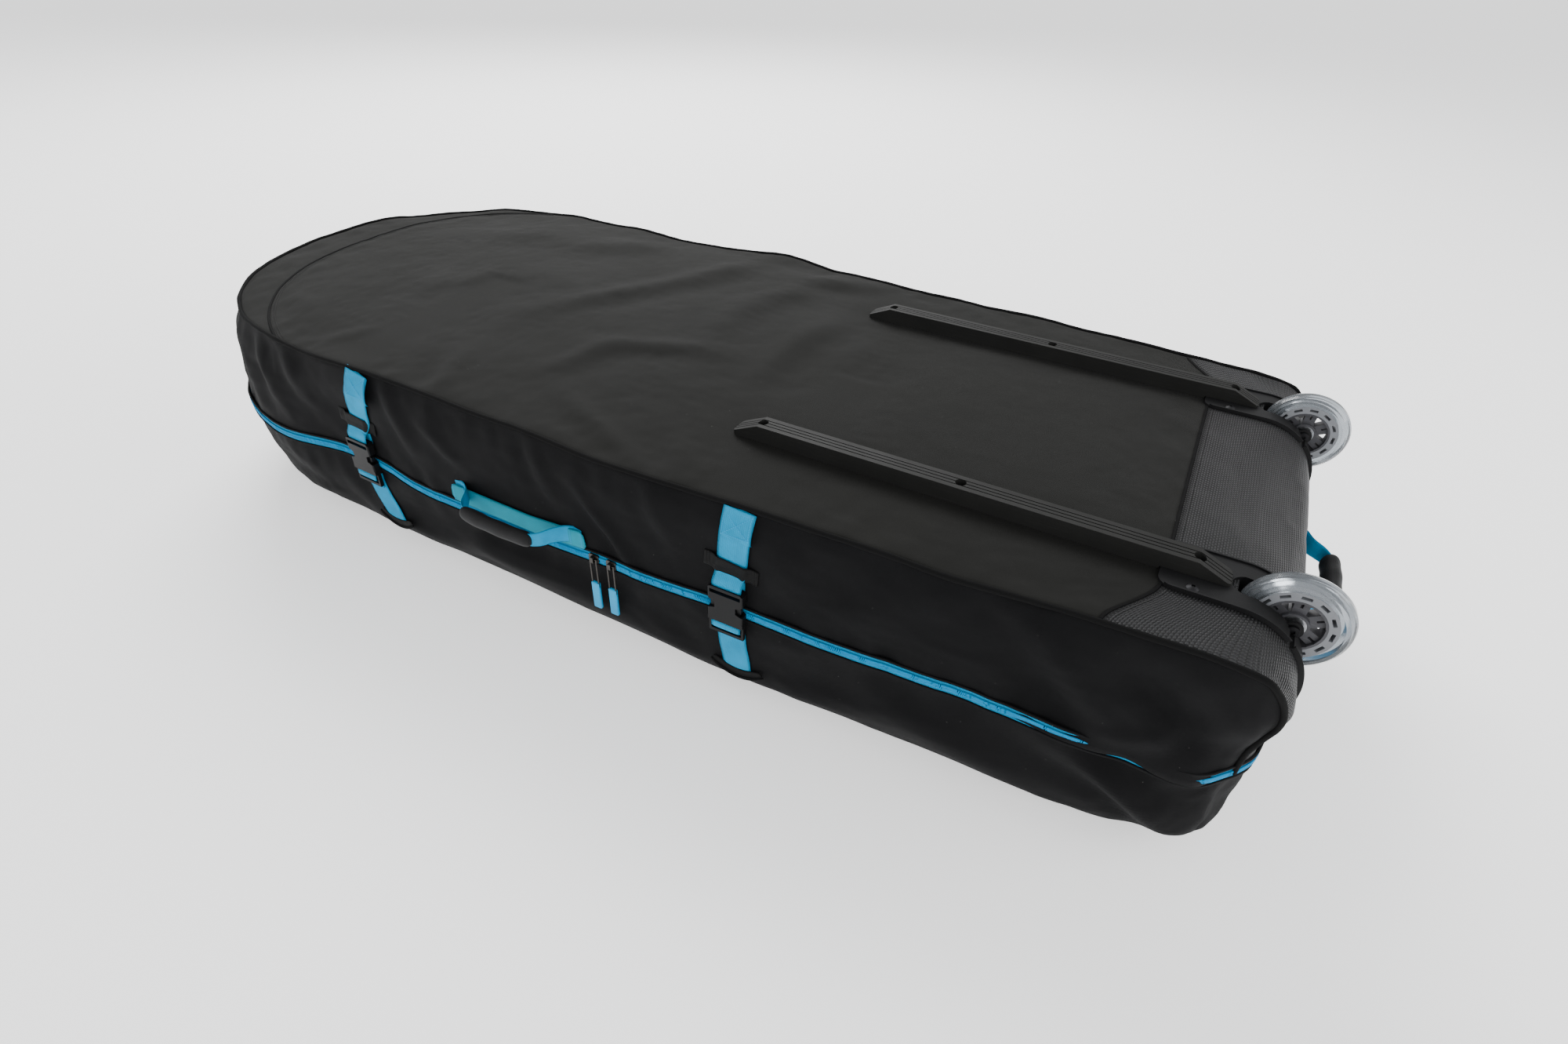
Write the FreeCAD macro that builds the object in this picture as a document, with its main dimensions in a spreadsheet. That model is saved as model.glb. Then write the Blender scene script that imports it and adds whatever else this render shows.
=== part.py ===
"""Wheeled snowboard bag, lying on its lid with the wheels and rails up.

Millimetres. +Z is up, +X points to the wheeled tail, -Y is the side with the carry handle.
The origin is on the face that the bag rests on, under the middle of the two tail-to-nose ends.
"""
import FreeCAD, Part
import math
import os
import Sketcher

doc = FreeCAD.newDocument("snowboard_bag")
Vector = FreeCAD.Vector
Rotation = FreeCAD.Rotation
Placement = FreeCAD.Placement

DIMENSIONS = [
    # plan outline: half-round nose, slightly bellied sides, square tail
    ("nose_tip", -775, "x of the tip of the nose"),
    ("tail_face", 790, "x of the tail wall"),
    ("belly_at", 60, "x where the bag is widest"),
    ("belly_half", 329, "half of the greatest width"),
    ("side_radius", 11000, "radius of the long sides in plan"),
    ("tail_corner", 30, "radius of the tail's upright corners"),
    # heights
    ("parting", 142, "height of the zip between lid and base"),
    ("part_gap", 0.3, "half of the gap between lid and base"),
    ("base_top", 290, "height of the panel that carries the rails"),
    ("tail_round", 70, "radius where the base panel wraps onto the tail"),
    ("lid_round", 26, "radius of the lid's lower edge"),
    ("wall", 4.5, "thickness of the padded fabric walls"),
    ("patch_start", 653, "x where the ribbed tail patch starts"),
    ("patch_low", 222, "height where the ribbed tail patch ends"),
    ("cap_radius", 336, "radius of the nose cap's seam"),
    ("cap_centre", -362, "x of the centre of the nose cap's seam"),
    ("board_thick", 3, "thickness of the stiffener board"),
    ("board_inset", 24, "distance from the outline to the stiffener board"),
    ("board_end", 696, "x where the stiffener board ends"),
    # zip
    ("zip_thick", 1.5, "thickness of the zip tapes"),
    ("zip_width", 7, "visible width of each zip tape"),
    ("zip_far_front", -400, "x where the zip ends on the far side, at the nose"),
    ("zip_far_rear", 700, "x where the zip ends on the far side, at the tail"),
    # wear rails
    ("rail_y", 198, "distance of each rail from the middle"),
    ("rail_start", 172, "x of the rails' front tips"),
    ("rail_end", 710, "x of the rails' rear tips"),
    ("rail_wide", 25, "width of a rail"),
    ("rail_top", 310, "height of the rails' running faces"),
    ("rail_ramp", 32, "length of a rail's sloping end"),
    ("rail_tip", 5, "height of a rail's tip above its foot"),
    ("rail_fillet", 5, "radius of the rails' upright end corners"),
    ("groove_wide", 1.4, "width of a groove in a rail"),
    ("groove_deep", 1.2, "depth of a groove in a rail"),
    ("groove_pitch", 5.5, "distance between the grooves"),
    ("screw_first", 206, "x of the first rail screw"),
    ("screw_pitch", 236, "distance between the rail screws"),
    ("screw_shank", 2.5, "radius of a rail screw"),
    ("screw_head", 5, "radius of a rail screw's head"),
    ("sink_radius", 6, "radius of a rail's counterbore"),
    ("sink_deep", 9, "depth of a rail's counterbore"),
    ("socket_radius", 1.8, "radius of a screw's drive socket"),
    ("nut_radius", 8, "radius of the washer nuts under the board"),
    ("nut_barrel", 4.2, "radius of a washer nut's barrel"),
    ("nut_high", 5, "height of a washer nut's barrel"),
    ("washer_thick", 1.5, "thickness of a washer nut's flange"),
    # wheels
    ("axle_x", 770, "x of the axles"),
    ("axle_y", 199, "distance of each wheel from the middle"),
    ("axle_z", 273, "height of the axles"),
    ("wheel_radius", 50, "radius of a wheel"),
    ("wheel_wide", 24, "width of a wheel"),
    ("tyre_inner", 37, "inner radius of the tyre"),
    ("core_inner", 28, "inner radius of the tyre's core ring"),
    ("core_wide", 19, "width of the core ring"),
    ("rim_inner", 25.5, "inner radius of the spoked hub's rim"),
    ("barrel_radius", 13.5, "radius of the hub's barrel"),
    ("bearing_radius", 11, "outer radius of a bearing"),
    ("bearing_wide", 7, "width of a bearing"),
    ("axle_radius", 3.95, "radius of an axle"),
    ("axle_bore", 4, "bore of a bearing"),
    ("fit_gap", 0.05, "gap between the rings of a wheel"),
    ("hub_side", 2, "distance from a wheel's side to the end of its hub"),
    ("spacer_radius", 5.6, "radius of an axle's spacer and bushes"),
    ("axle_head", 6.2, "radius of an axle's screw heads"),
    ("axle_head_half", 1.4, "half of the thickness of an axle's screw heads"),
    # wheel housings
    ("housing_start", 648, "x of the front of a wheel housing"),
    ("housing_half", 38, "half of the width of a wheel housing"),
    ("housing_thick", 3, "thickness of a wheel housing's plate"),
    ("housing_lip", 2, "height of the lip along a wheel housing's edges"),
    ("housing_low", 206, "height of the lower end of a wheel housing"),
    ("well_radius", 53, "radius of a wheel well"),
    ("well_half", 14, "half of the width of a wheel well"),
    ("well_wall", 3, "thickness of a wheel well"),
    ("ear_radius", 9, "radius of an axle ear"),
    ("ear_thick", 3, "thickness of an axle ear"),
    ("ear_reach", 24, "length of the web that carries an axle ear"),
    ("plate_corner", 14, "radius of a wheel housing's front corners"),
    ("plate_screw_x", 679, "x of the screws of a wheel housing"),
    ("plate_screw_y", 29, "distance of those screws from the wheel's middle"),
    ("truss_radius", 6, "radius of a housing screw's head"),
    ("truss_high", 2.6, "height of a housing screw's head"),
    ("truss_dome", 9, "radius of that head's dome"),
    ("truss_shank", 2, "radius of a housing screw's shank"),
    # straps and buckles
    ("strap_front", -352, "x of the front strap"),
    ("strap_rear", 240, "x of the rear strap"),
    ("strap_wide", 40, "width of the webbing"),
    ("strap_thick", 1.8, "thickness of the webbing"),
    ("strap_top", 287, "height where the upper webbing is sewn in"),
    ("strap_low", 46, "height where the lower webbing is sewn in"),
    ("lean_top_front", 39, "how far the front strap's top leans towards the tail"),
    ("lean_low_front", 26, "how far the front strap's foot leans towards the tail"),
    ("lean_top_rear", 14, "how far the rear strap's top leans towards the tail"),
    ("lean_low_rear", 10, "how far the rear strap's foot leans towards the tail"),
    ("anchor_half", 34, "half of the width of a strap anchor"),
    ("keeper_wide", 68, "width of the black keeper tab"),
    ("keeper_low", 193, "height of the keeper tab's lower edge"),
    ("keeper_high", 22, "height of the keeper tab"),
    ("buckle_wide", 45, "width of a buckle"),
    ("buckle_thick", 11, "thickness of a buckle"),
    ("buckle_top", 178, "height of a buckle's top"),
    ("buckle_split", 134, "height where the two buckle halves meet"),
    ("buckle_low", 108, "height of a buckle's bottom"),
    ("buckle_play", 0.8, "clearance around the tongue in a buckle"),
    ("buckle_skin", 2.2, "thickness of a buckle's walls"),
    ("buckle_room", 19.6, "half of the width of a buckle's webbing slots"),
    # handles
    ("handle_x", -70, "x of the carry handle's middle"),
    ("handle_z", 164, "height of the carry handle"),
    ("handle_base", 220, "length of the carry handle's base webbing"),
    ("handle_half_high", 13.5, "half of the height of the handles' sewn webbing"),
    ("tab_half", 20, "half of the width of a tail handle's tab"),
    ("handle_reach", 41, "distance from the side to the carry handle's grip"),
    ("grip_long", 114, "length of the carry handle's grip"),
    ("grip_radius", 10.5, "radius of the grips"),
    ("tail_grip_long", 90, "length of the tail handle's grip"),
    ("tail_handle_z", 195, "height of the tail handle"),
    ("tail_handle_half", 92, "half of the tail handle's span"),
    ("tail_handle_reach", 40, "distance from the tail wall to the tail handle's grip"),
    ("handle_pivot", 6, "distance of the handles' swing axes from the fabric"),
    ("loop_thick", 2.4, "thickness of the handles' webbing ends"),
    ("loop_root", 2.3, "half height of a webbing end where it swings"),
    ("loop_broad", 10.5, "half height of a webbing end where it is broadest"),
    ("loop_tip", 8.5, "half height of a webbing end at the grip"),
    ("loop_taper", 24, "length of a webbing end's taper"),
    ("loop_gap", 1.6, "gap between a webbing end and the grip"),
    # zip sliders
    ("slider_front", 52, "x of the front slider"),
    ("slider_rear", 78, "x of the rear slider"),
    ("slider_long", 15, "length of a slider along the zip"),
    ("slider_high", 12, "height of a slider"),
    ("slider_thick", 5, "thickness of a slider"),
    ("pull_long", 42, "length of a puller's wire loop"),
    ("pull_wire", 1, "radius of a puller's wire"),
    ("tab_long", 42, "length of a puller's moulded tab"),
    ("tab_wide", 12, "width of a puller's moulded tab"),
    ("tab_thick", 5, "thickness of a puller's moulded tab"),
]

sheet = doc.addObject("Spreadsheet::Sheet", "dims")
for row, (alias, size, meaning) in enumerate(DIMENSIONS, start=1):
    sheet.set("A%d" % row, meaning)
    sheet.set("B%d" % row, str(size))
    sheet.setAlias("B%d" % row, alias)
doc.recompute()

pieces = []


def dim(alias):
    """A driving dimension, read from the sheet."""
    return float(sheet.get(alias))


def measure(expression):
    """The number that an expression over the sheet stands for."""
    result = sheet.evalExpression(expression)
    return float(getattr(result, "Value", result))


# ---------------------------------------------------------------- parametric bodies

def new_body(label, position=None, turn=0.0):
    """An empty body whose placement follows from the sheet."""
    body = doc.addObject("PartDesign::Body", label)
    body.Label = label
    spin = Rotation(Vector(0, 0, 1), turn)
    body.Placement = Placement(Vector(*(position or (0, 0, 0))), spin)
    pieces.append(body)
    return body


def origin_feature(body, role):
    return [item for item in body.Origin.OriginFeatures if item.Role == role][0]


def new_sketch(body, plane, height="0"):
    """A sketch parallel to one of the body's own origin planes, height along that plane's normal."""
    sketch = body.newObject("Sketcher::SketchObject", body.Label + "_sketch")
    sketch.AttachmentSupport = [(origin_feature(body, plane), "")]
    sketch.MapMode = "FlatFace"
    sketch.setExpression("AttachmentOffset.Base.z", "(%s) * 1 mm" % height)
    return sketch


def pin_point(sketch, geometry, position, x_size, y_size):
    """Ties one point of the sketch to the origin with two bound distances."""
    for kind, expression in (("DistanceX", x_size), ("DistanceY", y_size)):
        size = measure(expression)
        index = sketch.addConstraint(Sketcher.Constraint(kind, -1, 1, geometry, position, size))
        sketch.setExpression("Constraints[%d]" % index, "(%s) * 1 mm" % expression)


def polygon(sketch, corners):
    """A closed polygon whose corners are pairs of expressions over the sheet."""
    points = [Vector(measure(x_size), measure(y_size), 0) for x_size, y_size in corners]
    first = len(sketch.Geometry)
    for index, point in enumerate(points):
        sketch.addGeometry(Part.LineSegment(point, points[(index + 1) % len(points)]), False)
    for index, (x_size, y_size) in enumerate(corners):
        follower = first + (index + 1) % len(points)
        sketch.addConstraint(Sketcher.Constraint("Coincident", first + index, 2, follower, 1))
        pin_point(sketch, first + index, 1, x_size, y_size)


def rectangle(sketch, left, low, right, high):
    polygon(sketch, [(left, low), (right, low), (right, high), (left, high)])


def circle(sketch, x_size, y_size, radius):
    centre = Vector(measure(x_size), measure(y_size), 0)
    index = sketch.addGeometry(Part.Circle(centre, Vector(0, 0, 1), measure(radius)), False)
    pin_point(sketch, index, 3, x_size, y_size)
    rule = sketch.addConstraint(Sketcher.Constraint("Radius", index, measure(radius)))
    sketch.setExpression("Constraints[%d]" % rule, "(%s) * 1 mm" % radius)


def pad(body, sketch, length):
    """Adds the sketch's area, along its plane's normal."""
    feature = body.newObject("PartDesign::Pad", body.Label + "_pad")
    feature.Profile = sketch
    feature.setExpression("Length", "(%s) * 1 mm" % length)
    doc.recompute()
    return feature


def pocket(body, sketch, length):
    """Takes the sketch's area away, against its plane's normal."""
    before = body.Shape.Volume
    feature = body.newObject("PartDesign::Pocket", body.Label + "_pocket")
    feature.Profile = sketch
    feature.setExpression("Length", "(%s) * 1 mm" % length)
    doc.recompute()
    if not body.Shape.Volume < before - 0.01:
        raise RuntimeError(body.Label + ": a pocket cuts nothing")
    return feature


def revolve(body, sketch):
    """Turns the sketch once around its own upright axis."""
    feature = body.newObject("PartDesign::Revolution", body.Label + "_turned")
    feature.Profile = sketch
    feature.ReferenceAxis = (sketch, ["V_Axis"])
    feature.Angle = 360.0
    doc.recompute()
    return feature


def round_edges(body, radius, chosen):
    """Fillets the edges of the body's tip that the test picks."""
    tip = body.Tip
    names = ["Edge%d" % (index + 1) for index, edge in enumerate(tip.Shape.Edges) if chosen(edge)]
    feature = body.newObject("PartDesign::Fillet", body.Label + "_fillet")
    feature.Base = (tip, names)
    feature.setExpression("Radius", "(%s) * 1 mm" % radius)
    doc.recompute()
    return feature


def runs_along(edge, direction):
    """True for a straight edge along the direction."""
    if not isinstance(edge.Curve, Part.Line):
        return False
    return abs(edge.Curve.Direction.dot(direction)) > 0.999


def repeat_round(body, features, count):
    """Repeats features around the body's Y axis."""
    pattern = body.newObject("PartDesign::PolarPattern", body.Label + "_round")
    pattern.Originals = features
    pattern.Axis = (origin_feature(body, "Y_Axis"), [""])
    pattern.Angle = 360.0
    pattern.Occurrences = count
    body.Tip = pattern
    doc.recompute()
    return pattern


def repeat_along(body, features, role, length, count):
    """Repeats features along one of the body's origin axes."""
    pattern = body.newObject("PartDesign::LinearPattern", body.Label + "_row")
    pattern.Originals = features
    pattern.Direction = (origin_feature(body, role), [""])
    pattern.setExpression("Length", "(%s) * 1 mm" % length)
    pattern.Occurrences = count
    body.Tip = pattern
    doc.recompute()
    return pattern


# ---------------------------------------------------------------- computed shapes

def add_shape(label, shape, placement=Placement()):
    """A piece whose shape comes from the sheet through Part's own functions."""
    feature = doc.addObject("Part::Feature", label)
    feature.Label = label
    feature.Shape = shape
    feature.Placement = placement
    pieces.append(feature)
    return feature


def box_between(low, high):
    size = [high[axis] - low[axis] for axis in range(3)]
    return Part.makeBox(size[0], size[1], size[2], Vector(*low))


def half_width(x_place):
    """Half of the bag's width at a place along its bellied sides."""
    off = x_place - dim("belly_at")
    return dim("belly_half") - dim("side_radius") + math.sqrt(dim("side_radius") ** 2 - off ** 2)


def side_turn(x_place):
    """Turn, in degrees about Z, of the near side's fabric at a place along it."""
    return math.degrees(math.asin((x_place - dim("belly_at")) / dim("side_radius")))


def outline(inset):
    """Plan outline as a wire of tangent arcs, moved inwards by inset."""
    big = dim("side_radius")
    reach = dim("belly_at") - dim("nose_tip")
    half = dim("belly_half")
    nose = (2 * big * half - reach ** 2 - half ** 2) / (2 * (big - reach))
    nose_middle = Vector(dim("nose_tip") + nose, 0, 0)
    near_middle = Vector(dim("belly_at"), big - half, 0)
    corner_x = dim("tail_face") - dim("tail_corner")
    drop = math.sqrt((big - dim("tail_corner")) ** 2 - (corner_x - dim("belly_at")) ** 2)
    corner_middle = Vector(corner_x, near_middle.y - drop, 0)
    front = near_middle + (nose_middle - near_middle).normalize() * (big - inset)
    widest = Vector(dim("belly_at"), -half + inset, 0)
    corner = dim("tail_corner") - inset
    end_x = dim("tail_face") - inset
    if corner > 0:
        rear = near_middle + (corner_middle - near_middle).normalize() * (big - inset)
        diagonal = corner_middle + Vector(1, -1, 0).normalize() * corner
        end = Vector(end_x, corner_middle.y, 0)
    else:
        fall = math.sqrt((big - inset) ** 2 - (end_x - dim("belly_at")) ** 2)
        rear = Vector(end_x, near_middle.y - fall, 0)
    tip = Vector(dim("nose_tip") + inset, 0, 0)

    def across(point):
        return Vector(point.x, -point.y, 0)

    edges = [Part.Arc(across(front), tip, front), Part.Arc(front, widest, rear)]
    if corner > 0:
        edges.append(Part.Arc(rear, diagonal, end))
        edges.append(Part.LineSegment(end, across(end)))
        edges.append(Part.Arc(across(end), across(diagonal), across(rear)))
    else:
        edges.append(Part.LineSegment(rear, across(rear)))
    edges.append(Part.Arc(across(rear), across(widest), across(front)))
    return Part.Wire([edge.toShape() for edge in edges])


def outline_prism(inset, low, high):
    face = Part.Face(outline(inset))
    face.translate(Vector(0, 0, low))
    return face.extrude(Vector(0, 0, high - low))


def side_prism(inset, low, half=400.0, start=-900.0, centre=0.0):
    """Side view of the base with its rounded tail edge, moved inwards by inset and made solid."""
    rounding = dim("tail_round") - inset
    end = dim("tail_face") - inset
    top = dim("base_top") - inset
    bend = 1 - math.sqrt(0.5)
    middle = Vector(end - rounding * bend, 0, top - rounding * bend)
    corners = [Vector(start, 0, low), Vector(end, 0, low), Vector(end, 0, top - rounding)]
    after = [Vector(end - rounding, 0, top), Vector(start, 0, top)]
    edges = [Part.LineSegment(corners[0], corners[1]), Part.LineSegment(corners[1], corners[2])]
    edges.append(Part.Arc(corners[2], middle, after[0]))
    edges.append(Part.LineSegment(after[0], after[1]))
    edges.append(Part.LineSegment(after[1], corners[0]))
    face = Part.Face(Part.Wire([edge.toShape() for edge in edges]))
    face.translate(Vector(0, centre - half, 0))
    return face.extrude(Vector(0, 2 * half, 0))


def across_cylinder(radius, middle_y, half):
    """A cylinder along Y around an axle."""
    foot = Vector(dim("axle_x"), middle_y - half, dim("axle_z"))
    return Part.makeCylinder(radius, 2 * half, foot, Vector(0, 1, 0))


FAR = 900.0
WHEEL_SIDES = (("near", -1), ("far", 1))
rail_screw_places = [dim("screw_first") + index * dim("screw_pitch") for index in range(3)]
well_room = dim("well_wall") + 0.4
seat_gap = 0.2
nose_end = outline(0).Edges[0].Vertexes[0].Point.x + 6


def make_lid():
    """The lid's panel, its walls with their rounded lower edge, and its half of the zip."""
    top = dim("parting") - dim("part_gap")
    outer = outline_prism(0, 0, top)
    rim = [edge for edge in outer.Edges if edge.BoundBox.ZMax < 0.01]
    outer = outer.makeFillet(dim("lid_round"), rim)
    inner = outline_prism(dim("wall"), dim("wall"), top + 10)
    rim = [edge for edge in inner.Edges if edge.BoundBox.ZMax < dim("wall") + 0.01]
    inner = inner.makeFillet(dim("lid_round") - dim("wall"), rim)
    shell = outer.cut(inner)
    floor = outline_prism(dim("lid_round") + 2, -1, dim("wall") + 1)
    add_shape("lid_panel", shell.common(floor))
    walls = shell.cut(floor)
    tail_start = dim("tail_face") - dim("tail_corner") - 10
    add_shape("lid_gusset_nose", walls.common(box_between((-FAR, -FAR, -1), (nose_end, FAR, top + 1))))
    for side, sign in WHEEL_SIDES:
        low_y, high_y = sorted((0, sign * FAR))
        room = box_between((nose_end, low_y, -1), (tail_start, high_y, top + 1))
        add_shape("lid_gusset_" + side, walls.common(room))
    add_shape("lid_gusset_tail", walls.common(box_between((tail_start, -FAR, -1), (FAR, FAR, top + 1))))


def make_zip_and_hinge():
    """Both zip tapes around the near side, nose and tail, and the fabric hinge on the far side."""
    far_side = box_between((dim("zip_far_front"), 0, 0), (dim("zip_far_rear"), FAR, FAR))
    gap = dim("part_gap")
    levels = {
        "zip_tape_lid": (dim("parting") - gap - dim("zip_width"), dim("parting") - gap),
        "zip_tape_base": (dim("parting") + gap, dim("parting") + gap + dim("zip_width")),
    }
    for label, (low, high) in levels.items():
        ring = outline_prism(-dim("zip_thick") - 0.1, low, high).cut(outline_prism(-0.1, low - 1, high + 1))
        add_shape(label, ring.cut(far_side))
    low = dim("parting") - 3 * dim("zip_width")
    high = dim("parting") - 3
    strip = outline_prism(-dim("zip_thick") - 0.1, low, high).cut(outline_prism(-0.1, low - 1, high + 1))
    add_shape("fabric_hinge", strip.common(far_side))


def make_base():
    """The base half: panel, nose cap, ribbed tail patch, tail wall, walls and stiffener board."""
    low = dim("parting") + dim("part_gap")
    top = dim("base_top")
    skin = top - dim("wall")
    outer = outline_prism(0, low, top).common(side_prism(0, low))
    inner = outline_prism(dim("wall"), low - 1, skin).common(side_prism(dim("wall"), low - 1))
    shell = outer.cut(inner)
    for side, sign in WHEEL_SIDES:
        middle = sign * dim("axle_y")
        room = across_cylinder(dim("well_radius") + well_room, middle, dim("well_half") + well_room)
        front = dim("axle_x") - dim("well_radius") - well_room
        low_y, high_y = middle - dim("well_half") - well_room, middle + dim("well_half") + well_room
        slot = box_between((front, low_y, skin - 8), (dim("axle_x"), high_y, top + 1))
        shell = shell.cut(room).cut(slot).cut(head_pocket(middle, 0.8))
    holes = []
    for side, sign in WHEEL_SIDES:
        for place in rail_screw_places:
            foot = Vector(place, sign * dim("rail_y"), low)
            holes.append(Part.makeCylinder(dim("screw_shank") + 0.1, top, foot))
    start = dim("patch_start")
    above = box_between((-FAR, -FAR, skin), (start, FAR, top + 1))
    below = box_between((-FAR, -FAR, 0), (FAR, FAR, skin))
    centre = Vector(dim("cap_centre"), 0, skin - 1)
    seam_disc = Part.makeCylinder(dim("cap_radius"), dim("wall") + 2, centre)
    behind = box_between((dim("cap_centre"), -FAR, skin - 1), (FAR, FAR, top + 1))
    nose_side = box_between((-FAR, -FAR, 0), (nose_end, FAR, top + 1))
    cap_room = nose_side.cut(seam_disc.fuse(behind))
    lid_of_base = shell.common(above)
    add_shape("nose_cap", lid_of_base.common(cap_room))
    add_shape("base_panel", lid_of_base.cut(cap_room).cut(Part.makeCompound(holes)))
    tail_start = dim("tail_face") - dim("tail_round")
    patch_room = box_between((start, -FAR, skin), (tail_start, FAR, top + 1)).fuse(
        box_between((tail_start, -FAR, dim("patch_low")), (FAR, FAR, top + 1)))
    add_shape("tail_patch", shell.common(patch_room).cut(Part.makeCompound(holes)))
    tail_room = box_between((tail_start, -FAR, 0), (FAR, FAR, dim("patch_low")))
    add_shape("tail_wall", shell.common(tail_room))
    walls = shell.common(below)
    add_shape("base_gusset_nose", walls.common(nose_side))
    for side, sign in WHEEL_SIDES:
        low_y, high_y = sorted((0, sign * FAR))
        room = box_between((nose_end, low_y, 0), (tail_start, high_y, top))
        add_shape("base_gusset_" + side, walls.common(room))
    board_top = skin - seat_gap
    board = outline_prism(dim("board_inset"), board_top - dim("board_thick"), board_top)
    board = board.cut(box_between((dim("board_end"), -FAR, 0), (FAR, FAR, FAR)))
    add_shape("stiffener_board", board.cut(Part.makeCompound(holes)))


def make_rail(side, sign):
    """A wear rail: sloping ends, three fine grooves and three counterbored screw holes."""
    body = new_body("rail_" + side, (0, sign * dim("rail_y"), 0))
    foot = "dims.base_top + 0.2"
    step = "dims.base_top + dims.housing_thick + 0.5"
    front, rear = "dims.rail_start", "dims.rail_end"
    profile = new_sketch(body, "XZ_Plane", "-dims.rail_wide / 2")
    polygon(profile, [
        (front, foot), ("dims.housing_start - 1", foot), ("dims.housing_start - 1", step), (rear, step),
        (rear, step + " + dims.rail_tip / 2"), (rear + " - dims.rail_ramp", "dims.rail_top"),
        (front + " + dims.rail_ramp", "dims.rail_top"), (front, foot + " + dims.rail_tip")])
    pad(body, profile, "dims.rail_wide")
    round_edges(body, "dims.rail_fillet", lambda edge: runs_along(edge, Vector(0, 0, 1))
                and (edge.BoundBox.XMin < dim("rail_start") + 1 or edge.BoundBox.XMin > dim("rail_end") - 1))
    groove = new_sketch(body, "XZ_Plane", "dims.groove_pitch + dims.groove_wide / 2")
    deep = "dims.groove_deep"
    polygon(groove, [
        (front + " - 1", "dims.rail_top + 5"), (front + " - 1", foot + " + dims.rail_tip - 2"),
        (front + " + dims.rail_ramp", "dims.rail_top - " + deep),
        (rear + " - dims.rail_ramp", "dims.rail_top - " + deep),
        (rear + " + 1", step + " + dims.rail_tip / 2 - 2"), (rear + " + 1", "dims.rail_top + 5")])
    cut = pocket(body, groove, "dims.groove_wide")
    repeat_along(body, [cut], "Y_Axis", "2 * dims.groove_pitch", 3)
    for radius, bottom in (("dims.sink_radius", "dims.sink_deep"), ("dims.screw_shank + 0.15", "30")):
        holes = new_sketch(body, "XY_Plane", "dims.rail_top")
        for index in range(3):
            circle(holes, "dims.screw_first + %d * dims.screw_pitch" % index, "0", radius)
        pocket(body, holes, bottom)


def make_rail_fixings():
    """The six rail screws and the washer nuts that clamp them to the stiffener board."""
    screws = []
    nuts = []
    head_high = 3
    dome = dim("screw_head") * 1.4
    seat = dim("rail_top") - dim("sink_deep")
    board_low = dim("base_top") - dim("wall") - seat_gap - dim("board_thick")
    washer_low = board_low - seat_gap - dim("washer_thick")
    shank_low = board_low - 6
    for side, sign in WHEEL_SIDES:
        for place in rail_screw_places:
            def up(height):
                return Vector(place, sign * dim("rail_y"), height)

            head = Part.makeCylinder(dim("screw_head"), head_high, up(seat))
            round_top = Part.makeSphere(dome, up(seat + head_high - dome))
            socket = Part.makeCylinder(dim("socket_radius"), head_high, up(seat + head_high / 2))
            shank = Part.makeCylinder(dim("screw_shank"), seat - shank_low, up(shank_low))
            screws.append(head.common(round_top).cut(socket).fuse(shank))
            washer = Part.makeCylinder(dim("nut_radius"), dim("washer_thick"), up(washer_low))
            barrel = Part.makeCylinder(dim("nut_barrel"), dim("nut_high"), up(washer_low - dim("nut_high")))
            bore = Part.makeCylinder(dim("screw_shank") + dim("fit_gap"), board_low, up(0))
            nuts.append(washer.fuse(barrel).cut(bore))
    add_shape("rail_screws", Part.makeCompound(screws))
    add_shape("rail_nuts", Part.makeCompound(nuts))


def head_pocket(middle, room):
    """The space round an axle's screw heads, room wider than they are."""
    reach = dim("well_half") + dim("ear_thick") + 2 * dim("axle_head_half")
    return across_cylinder(dim("axle_head") + room, middle, reach + room)


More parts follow.
